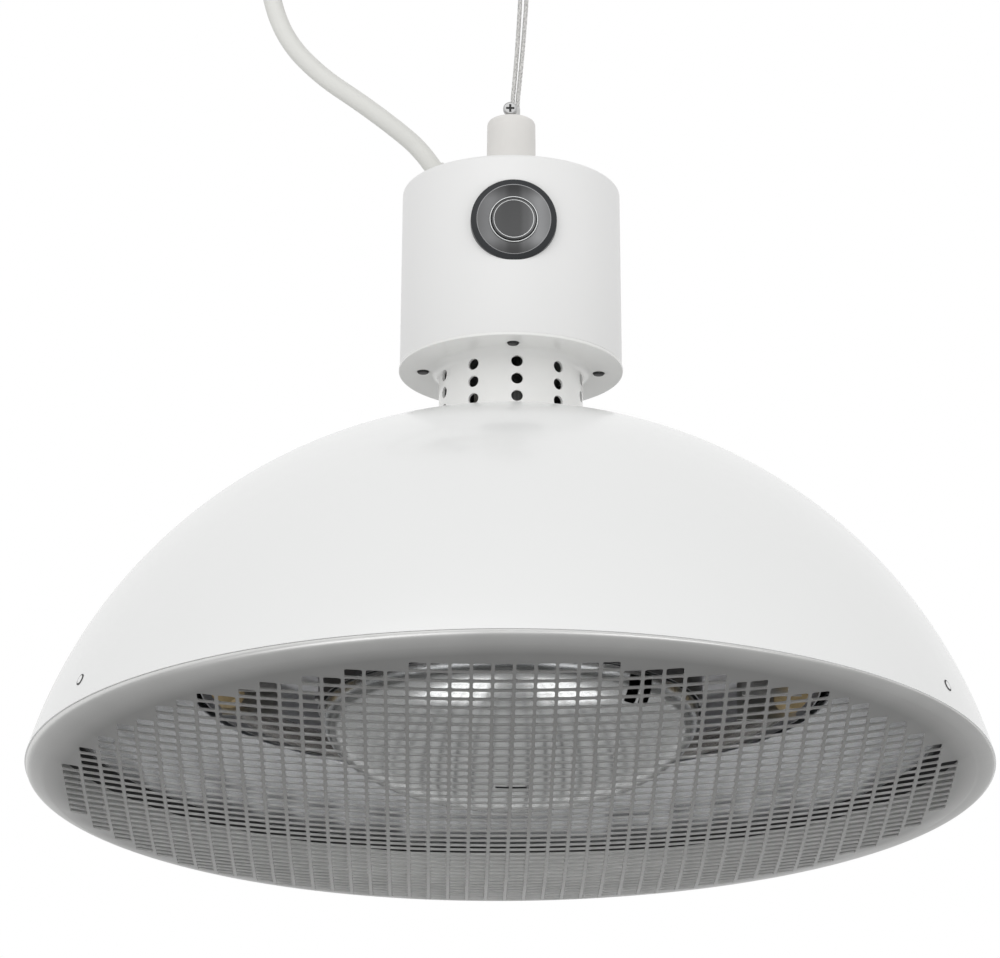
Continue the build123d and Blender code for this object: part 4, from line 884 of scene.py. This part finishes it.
# The bulge hangs a little lower on the left, as the picture shows
for v in pan.data.vertices:
    share = min(1.0, max(0.0, (at(0, 0, 0).z - v.co.z) / mm(LEAN_DEPTH)))
    v.co.z += PAN_LEAN * v.co.x * share
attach(pan, "heater")
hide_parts("grille_pan")
pan.data.calc_loop_triangles()
print("pan triangles", len(pan.data.loop_triangles))

# %% [markdown]
# ## The vent collar
# A short tube with a broad flange closes the housing from below, and lets its warm air out
# through three rows of drilled holes. The turned blank is drilled by a tree that takes a ring of
# cylinders away, the way a dividing head would do it.

# %% Vent collar
collar_outer, collar_inner, screw_circle = 32.2, 31.0, 39.3
flange_low, flange_high, flange_edge = 185.803, 187.203, 50.2


def dome_z(radius):
    """The height of the dome's outer face."""
    return SPHERE_Z + math.sqrt(SPHERE_RADIUS**2 - radius**2)


collar_profile = rounded([
    (collar_inner, dome_z(collar_inner) + 0.05), (collar_outer, dome_z(collar_outer) + 0.05),
    (collar_outer, flange_low, 4.0), (flange_edge, flange_low, 0.35),
    (flange_edge, flange_high, 0.25), (collar_inner, flange_high)], 8)
blank = turned("collar_blank", collar_profile, 160)
drill = hidden(turned("drill", [(0, -8), (2.6, -8), (2.6, 8), (0, 8)], 32,
                      (0, -collar_outer, 180.003), axis="Y"))
drilled = baked("vent_collar_sheet", ring_cut, {
    "Shape": drill, "Count": 10, "First angle": math.radians(3.5), "Levels": 3,
    "Level step": mm(-8.1), "Material": collar_enamel_painted_light}, host=blank)
recess_profile = [(0, 184.6), (2.85, 184.6), (2.85, 186.7), (1.55, 186.7), (1.55, 188.6),
                  (0, 188.6)]
recess = hidden(turned("recess", recess_profile, 32, (0, -screw_circle, 0)))
collar = baked("vent_collar_sheet", ring_cut, {
    "Shape": recess, "Count": 4, "Material": collar_enamel_painted_light}, host=drilled)
smooth(collar.data, 32)
wear(collar, collar_enamel_painted_light)
# Painted shade: the tube's inner faces are dark, for the shade behind the vent holes.
paint(collar, cavity_shade,
      lambda centre, _: math.hypot(centre.x, centre.y) < mm(collar_inner + 0.1))
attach(collar, "heater")
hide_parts("vent_collar")
print("collar faces", len(collar.data.polygons))

# %% [markdown]
# Four black screws hold the flange from below. They are evenly spaced, so the tree that turns a
# shape about the axis makes them from one, and their recesses in the flange came the same way.

# %% Flange screws
screw_profile = rounded([(0, 185.05), (2.2, 185.05, 0.5), (2.6, 185.6, 0.2), (2.6, 186.65),
                         (1.45, 186.65), (1.45, 199.6), (0, 199.6)], 3)
screw = hidden(turned("screw", screw_profile, 28, (0, -screw_circle, 0)))
flange_screws = baked("collar_screws", ring_of, {
    "Shape": screw, "Count": 4, "Material": black_screw_and_cross_shade})
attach(flange_screws, "heater")
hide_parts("flange_screws")

# %% [markdown]
# ## The control housing
# A slightly tapered can, enamelled like the dome but a little duller, with a soft upper edge.
# The hole for the lens and those for the stem and the cord are taken out with a tree too.

# %% Housing
housing_low, housing_high = 187.253, 271.953
housing_r0, housing_r1, housing_wall, housing_gap = 49.75, 48.9, 2.2, 0.34
can_profile = rounded([
    (0, housing_high - housing_wall), (housing_r1 - housing_wall, housing_high - housing_wall, 1.0),
    (housing_r0 - housing_wall, housing_low), (housing_r0, housing_low, 0.3),
    (housing_r1, housing_high, 2.4), (0, housing_high)], 8)
can = turned("housing_can", can_profile, 224)
cutter_tree = Tree("take_away", [
    ("Cutter", "Object", None), ("Material", "Material", None)])
add, given = cutter_tree.add, cutter_tree.input
cutter = add("GeometryNodeObjectInfo", {"Object": given("Cutter")}, out="Geometry")
cut = add("GeometryNodeMeshBoolean", {
    "Mesh 1": given("Geometry"), "Mesh 2": cutter}, operation="DIFFERENCE", solver="EXACT")
cutter_tree.end(cut, given("Material"))
tools = [
    turned("tool", [(0, -56), (17.05, -56), (17.05, -36), (0, -36)], 96, (0, 0, LENS_Z), axis="Y"),
    turned("tool", [(0, 262), (5.25, 262), (5.25, 276), (0, 276)], 48),
    turned("tool", [(0, 262), (5.8, 262), (5.8, 276), (0, 276)], 48, (-27, 22, 0)),
]
for tool in tools:
    values = {"Cutter": hidden(tool), "Material": white_satin}
    can = baked("housing_can", cutter_tree, values, host=can)
# Its lower edge doesn't quite meet the flange on the right
for v in can.data.vertices:
    if v.co.z < at(0, 0, housing_low + 1).z and v.co.x > 0:
        v.co.z += mm(housing_gap) * (v.co.x / mm(housing_r0)) ** 2
smooth(can.data, 32)
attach(can, "heater")
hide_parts("housing_shell")
print("housing faces", len(can.data.polygons))

# %% [markdown]
# ## Lens and button
# A dark, smoked lens with a bevelled rim sits on the can. In its middle is the power button,
# framed by a fine silver ring, and a second fine line is printed on the button's own edge.

# %% Lens, ring and button
LENS_LINE, BUTTON_LINE = (16.25, 16.62), (8.7, 9.0)


def off_lens(point):
    """How far a point lies off the lens's axis."""
    return math.hypot(point.x, point.z - LENS_HEIGHT)


lens_share = (LENS_Z - housing_low) / (housing_high - housing_low)
lens_front = -(housing_r0 + lens_share * (housing_r1 - housing_r0)) - 1.0
lens_profile = rounded([
    (10.15, lens_front + 4.2), (10.15, lens_front + 1.05), (10.95, lens_front + 1.05),
    (10.95, lens_front + 0.58), (16.3, lens_front + 0.12, 0.1), (16.5, lens_front - 0.02, 0.08),
    (16.75, lens_front, 0.05), (19.1, lens_front + 0.8, 0.25), (19.2, lens_front + 8.0),
    (17.0, lens_front + 8.0), (17.0, lens_front + 4.2)], 4)
lens = turned("control_lens_disc", lens_profile, 160, (0, 0, LENS_Z), axis="Y")
form_profile = [(0, 180), (housing_r0 + 0.12, 180), (housing_r1 - 0.02, 280), (0, 280)]
can_form = hidden(turned("can_form", form_profile, 224))
values = {"Cutter": can_form, "Material": lens_plastic}
lens = baked("control_lens_disc", cutter_tree, values, host=lens)
smooth(lens.data, 30)
wear(lens, lens_plastic)
paint(lens, lens_edge, lambda centre, _: off_lens(centre) > mm(LENS_LINE[1]))
paint(lens, lens_line, lambda centre, _: mm(LENS_LINE[0]) < off_lens(centre) < mm(LENS_LINE[1])
      and centre.y < mm(lens_front + 1))
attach(lens, "heater")
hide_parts("control_lens")
ring_profile = rounded([
    (10.35, lens_front + 0.9), (10.35, lens_front + 0.12, 0.1), (10.8, lens_front + 0.12, 0.1),
    (10.8, lens_front + 0.9)], 3)
button_ring = wear(turned("button_frame", ring_profile, 128, (0, 0, LENS_Z), axis="Y"), silver_ring)
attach(button_ring, "heater")
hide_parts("button_ring")
button_front = lens_front - 0.6
button_profile = rounded([
    (0, button_front + 0.55), (8.72, button_front + 0.12), (8.98, button_front + 0.08),
    (9.85, button_front + 0.1, 0.25), (9.85, lens_front + 3.4), (11.4, lens_front + 3.46),
    (11.4, lens_front + 4.8), (0, lens_front + 4.8)], 4)
button = turned("power_push", button_profile, 128, (0, 0, LENS_Z), axis="Y")
wear(button, button_plastic)
paint(button, silver_ring,
      lambda centre, _: mm(BUTTON_LINE[0]) < off_lens(centre) < mm(BUTTON_LINE[1])
      and centre.y < mm(lens_front))
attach(button, "button")
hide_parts("power_button")

# %% [markdown]
# ## Cap, stud and the screw that clamps the rope
# A small nylon cap hides the stem's nut. The stud's top stands out of it, with both ends of the
# rope in it, and a cross-headed screw clamps them from the front.

# %% Nylon cap
cap_low, cap_high = 272.003, 306.803
cap_profile = rounded([
    (9.3, cap_low), (11.2, cap_low, 0.2), (10.9, cap_high, 2.6), (4.15, cap_high),
    (4.15, cap_high - 1.9), (9.0, cap_high - 1.9)], 8)
cap = wear(turned("nylon_cap", cap_profile, 96), cap_plastic)
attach(cap, "heater")
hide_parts("suspension_cap")

# %% [markdown]
# The screw's head is only 6 mm wide, but its dark cross shows in the picture. Two crossed bars
# that stand a few hundredths of a millimetre proud give it, and their front faces carry painted
# shade, black like the shade in the cross's recess.

# %% Clamp screw with a dark cross
screw_x, screw_z, screw_near = -0.6, cap_high + 4.4, -5.25
head_profile = rounded([
    (0, screw_near), (2.7, screw_near, 0.8), (3.2, screw_near + 0.7, 0.3),
    (3.2, screw_near + 2.2), (1.2, screw_near + 2.2), (1.2, -1.2), (0, -1.2)], 5)
head = turned("clamp_screw", head_profile, 64, (screw_x, 0, screw_z), axis="Y")
cross = []
for wide_x, wide_z in ((1.9, 0.5), (0.5, 1.9)):
    low = (screw_x - wide_x, screw_near - 0.02 - 0.01 * wide_x, screw_z - wide_z)
    cross.append(box_mesh("cross", low, (screw_x + wide_x, screw_near + 0.5, screw_z + wide_z)))
head = wear(joined("clamp_screw", [head, *cross]), screw_steel)
screw_height = at(0, 0, screw_z).z
# Painted shade: the cross's front faces are black.
paint(head, black_screw_and_cross_shade, lambda centre, normal: centre.y < mm(screw_near - 0.005)
      and normal.y < -0.5 and math.hypot(centre.x - mm(screw_x), centre.z - screw_height) < mm(2.0))
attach(head, "heater")
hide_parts("rope_screw")

# %% [markdown]
# ## Reflectors
# The two reflectors that the holes show best are spun again with a finer curve. The central one
# is the lower half of a flattened ball, with a slot near its lowest point and a notch in its rim.

# %% Reflectors
BOWL_RADIUS, BOWL_DEPTH, BOWL_RIM, BOWL_SHEET = 83.0, 38.013, 26.013, 0.7


def spheroid(radius, depth, steps=64):
    """The lower half of a flattened ball, from its lowest point to its rim."""
    angles = [math.pi / 2 * i / steps for i in range(steps + 1)]
    return [Vector((radius * math.sin(t), BOWL_RIM - depth * math.cos(t))) for t in angles]


bowl_out = spheroid(BOWL_RADIUS, BOWL_DEPTH)
bowl_in = spheroid(BOWL_RADIUS - BOWL_SHEET, BOWL_DEPTH - BOWL_SHEET)
neck_top = BOWL_RIM + 10
neck_edge = [Vector((BOWL_RADIUS, neck_top)), Vector((BOWL_RADIUS - BOWL_SHEET, neck_top))]
bowl = turned("central_bowl", bowl_out + neck_edge + bowl_in[::-1], 240)
notch_turn = Matrix.Rotation(math.radians(41.5), 4, "Z")
bowl_tools = [box_mesh("tool", (-6.8, -16.1, -20), (6.8, -13.9, 0)),
              box_mesh("tool", (-6.6, -95, 14.0), (-0.4, -60, 25.5), 0.8, notch_turn),
              box_mesh("tool", (1.2, -95, 14.0), (6.6, -60, 27.5), 0.8, notch_turn)]
for tool in bowl_tools:
    values = {"Cutter": hidden(tool), "Material": reflector}
    bowl = baked("central_bowl", cutter_tree, values, host=bowl)
smooth(bowl.data, 40)
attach(bowl, "heater")
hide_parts("central_reflector")

skirt_line = rounded([
    (141.0, 42.013), (141.0, 38.013, 1.6), (174.0, 25.6, 24), (188.6, 18.4, 1.4), (193.0, 20.813)])
skirt_back = rounded([
    (192.76, 21.473), (188.5, 19.2, 0.8), (174.2, 26.3, 24), (141.7, 38.5, 0.9), (141.7, 42.013)])
skirt = wear(turned("outer_skirt", skirt_line + skirt_back, 288), reflector_satin)
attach(skirt, "heater")
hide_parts("outer_reflector")
print("bowl faces", len(bowl.data.polygons), "skirt faces", len(skirt.data.polygons))

# %% [markdown]
# ## What stays as it was packed
# The lamps, the spider, the board and the hardware at the ceiling are already right as solids, so
# they only get a finish. A table of names keeps them in one place, and a loop paints them.

# %% Materials on the CAD solids that stay
cad_finish = {
    "rope_stud": steel, "stem": steel, "stem_nuts": steel, "stem_washers": steel,
    "button_spring": steel, "clamp_bridge": steel, "spider": steel, "channel_rivets": steel,
    "bowl_rivets": steel, "lamp_holders": steel, "holder_screws": steel, "ceiling_eye": steel,
    "link_body": steel, "link_nut": steel, "board_switch": black_plastic,
    "board_relay": black_plastic, "thermal_cutout": black_plastic, "gland_nut": cream_plastic,
    "terminal_block": cream_plastic, "control_board": board_green, "cord_gland": cord_rubber,
    "heat_shield": reflector_satin, "lamp_channel": channel_metal, "lamp_end_caps": lamp_ceramic,
    "lamp_front": quartz, "lamp_back": quartz, "filament_front": filament,
    "filament_back": filament, "lead_left": lead_sleeve, "lead_right": lead_sleeve,
    "ceiling_plate": white_satin,
}
for node_name, finish in cad_finish.items():
    node = frame["nodes"][node_name]
    for slot_item in node.material_slots:
        slot_item.material = finish

# %% [markdown]
# ## The floor
# The picture has a plain white ground.

# %% Floor
floor_mesh = bpy.data.meshes.new("floor")
FLOOR_REACH, FLOOR_Z, FLOOR_TONE = 9.0, -2.6, 0.52
floor_mesh.from_pydata([(x * FLOOR_REACH, y * FLOOR_REACH, FLOOR_Z) for x, y in (
    (-1, -1), (1, -1), (1, 1), (-1, 1))], [], [(0, 1, 2, 3)])
floor = new_object("floor", floor_mesh)
floor_paint = bpy.data.materials.new("pale_floor")
floor_paint.use_nodes = True
floor_shader = floor_paint.node_tree.nodes["Principled BSDF"]
floor_shader.inputs["Base Color"].default_value = (FLOOR_TONE, FLOOR_TONE, FLOOR_TONE, 1)
floor_shader.inputs["Roughness"].default_value = 0.8
floor_mesh.materials.append(floor_paint)

# %% [markdown]
# ## Surround and lamps
# The camera, gloss and glass see a plain white surround, while the light that it gives falls off
# towards the back. Three soft lamps add to it: a broad one high in front, and two panels on the
# floor for the bright patches on the reflector.

# %% World and lamps
FRONT_LIGHT, BACK_LIGHT = 1.0, 0.55
world = bpy.data.worlds.new("white_surround")
scene.world = world
world.use_nodes = True
world_tree = world.node_tree
background = world_tree.nodes["Background"]
background.inputs["Color"].default_value = (1, 1, 1, 1)
rays = add_node(world_tree, "ShaderNodeLightPath").node.outputs
seen = add_node(world_tree, "ShaderNodeMath", {
    0: rays["Is Camera Ray"], 1: rays["Is Transmission Ray"]}, operation="MAXIMUM")
mirrored = add_node(world_tree, "ShaderNodeMath", {
    0: seen, 1: rays["Is Glossy Ray"]}, operation="MAXIMUM")
heading = add_node(world_tree, "ShaderNodeTexCoord", out="Generated")
depth = add_node(world_tree, "ShaderNodeSeparateXYZ", {0: heading}, out="Y")
from_front = ranged(world_tree, depth, (-1.0, 1.0), (FRONT_LIGHT, BACK_LIGHT))
strength = ranged(world_tree, mirrored, (0.0, 1.0), (from_front, 1.0))
world_tree.links.new(strength, background.inputs["Strength"])


def soft_lamp(name, place, turn, width, height, power):
    """A rectangular area lamp at a place, turned by Euler angles."""
    data = bpy.data.lights.new(name, "AREA")
    data.shape = "RECTANGLE"
    data.size, data.size_y = width, height
    data.energy = power
    lamp = new_object(name, data)
    lamp.location = place
    lamp.rotation_euler = turn


lamp_place = Vector((-0.6, -2.4, 1.2))
to_heater = (at(0, 0, 120) - lamp_place).to_track_quat("-Z", "Y").to_euler()
soft_lamp("high_front", lamp_place, to_heater, 2.4, 1.6, 10)
# Two long panels lie on the floor left and right, and a dark strip stays between them
for side in (-1, 1):
    soft_lamp("floor_panel", (side * 1.26, -1.95, -2.45), (math.pi, 0, 0), 1.6, 2.9, 24)
scene.view_settings.view_transform = "Standard"
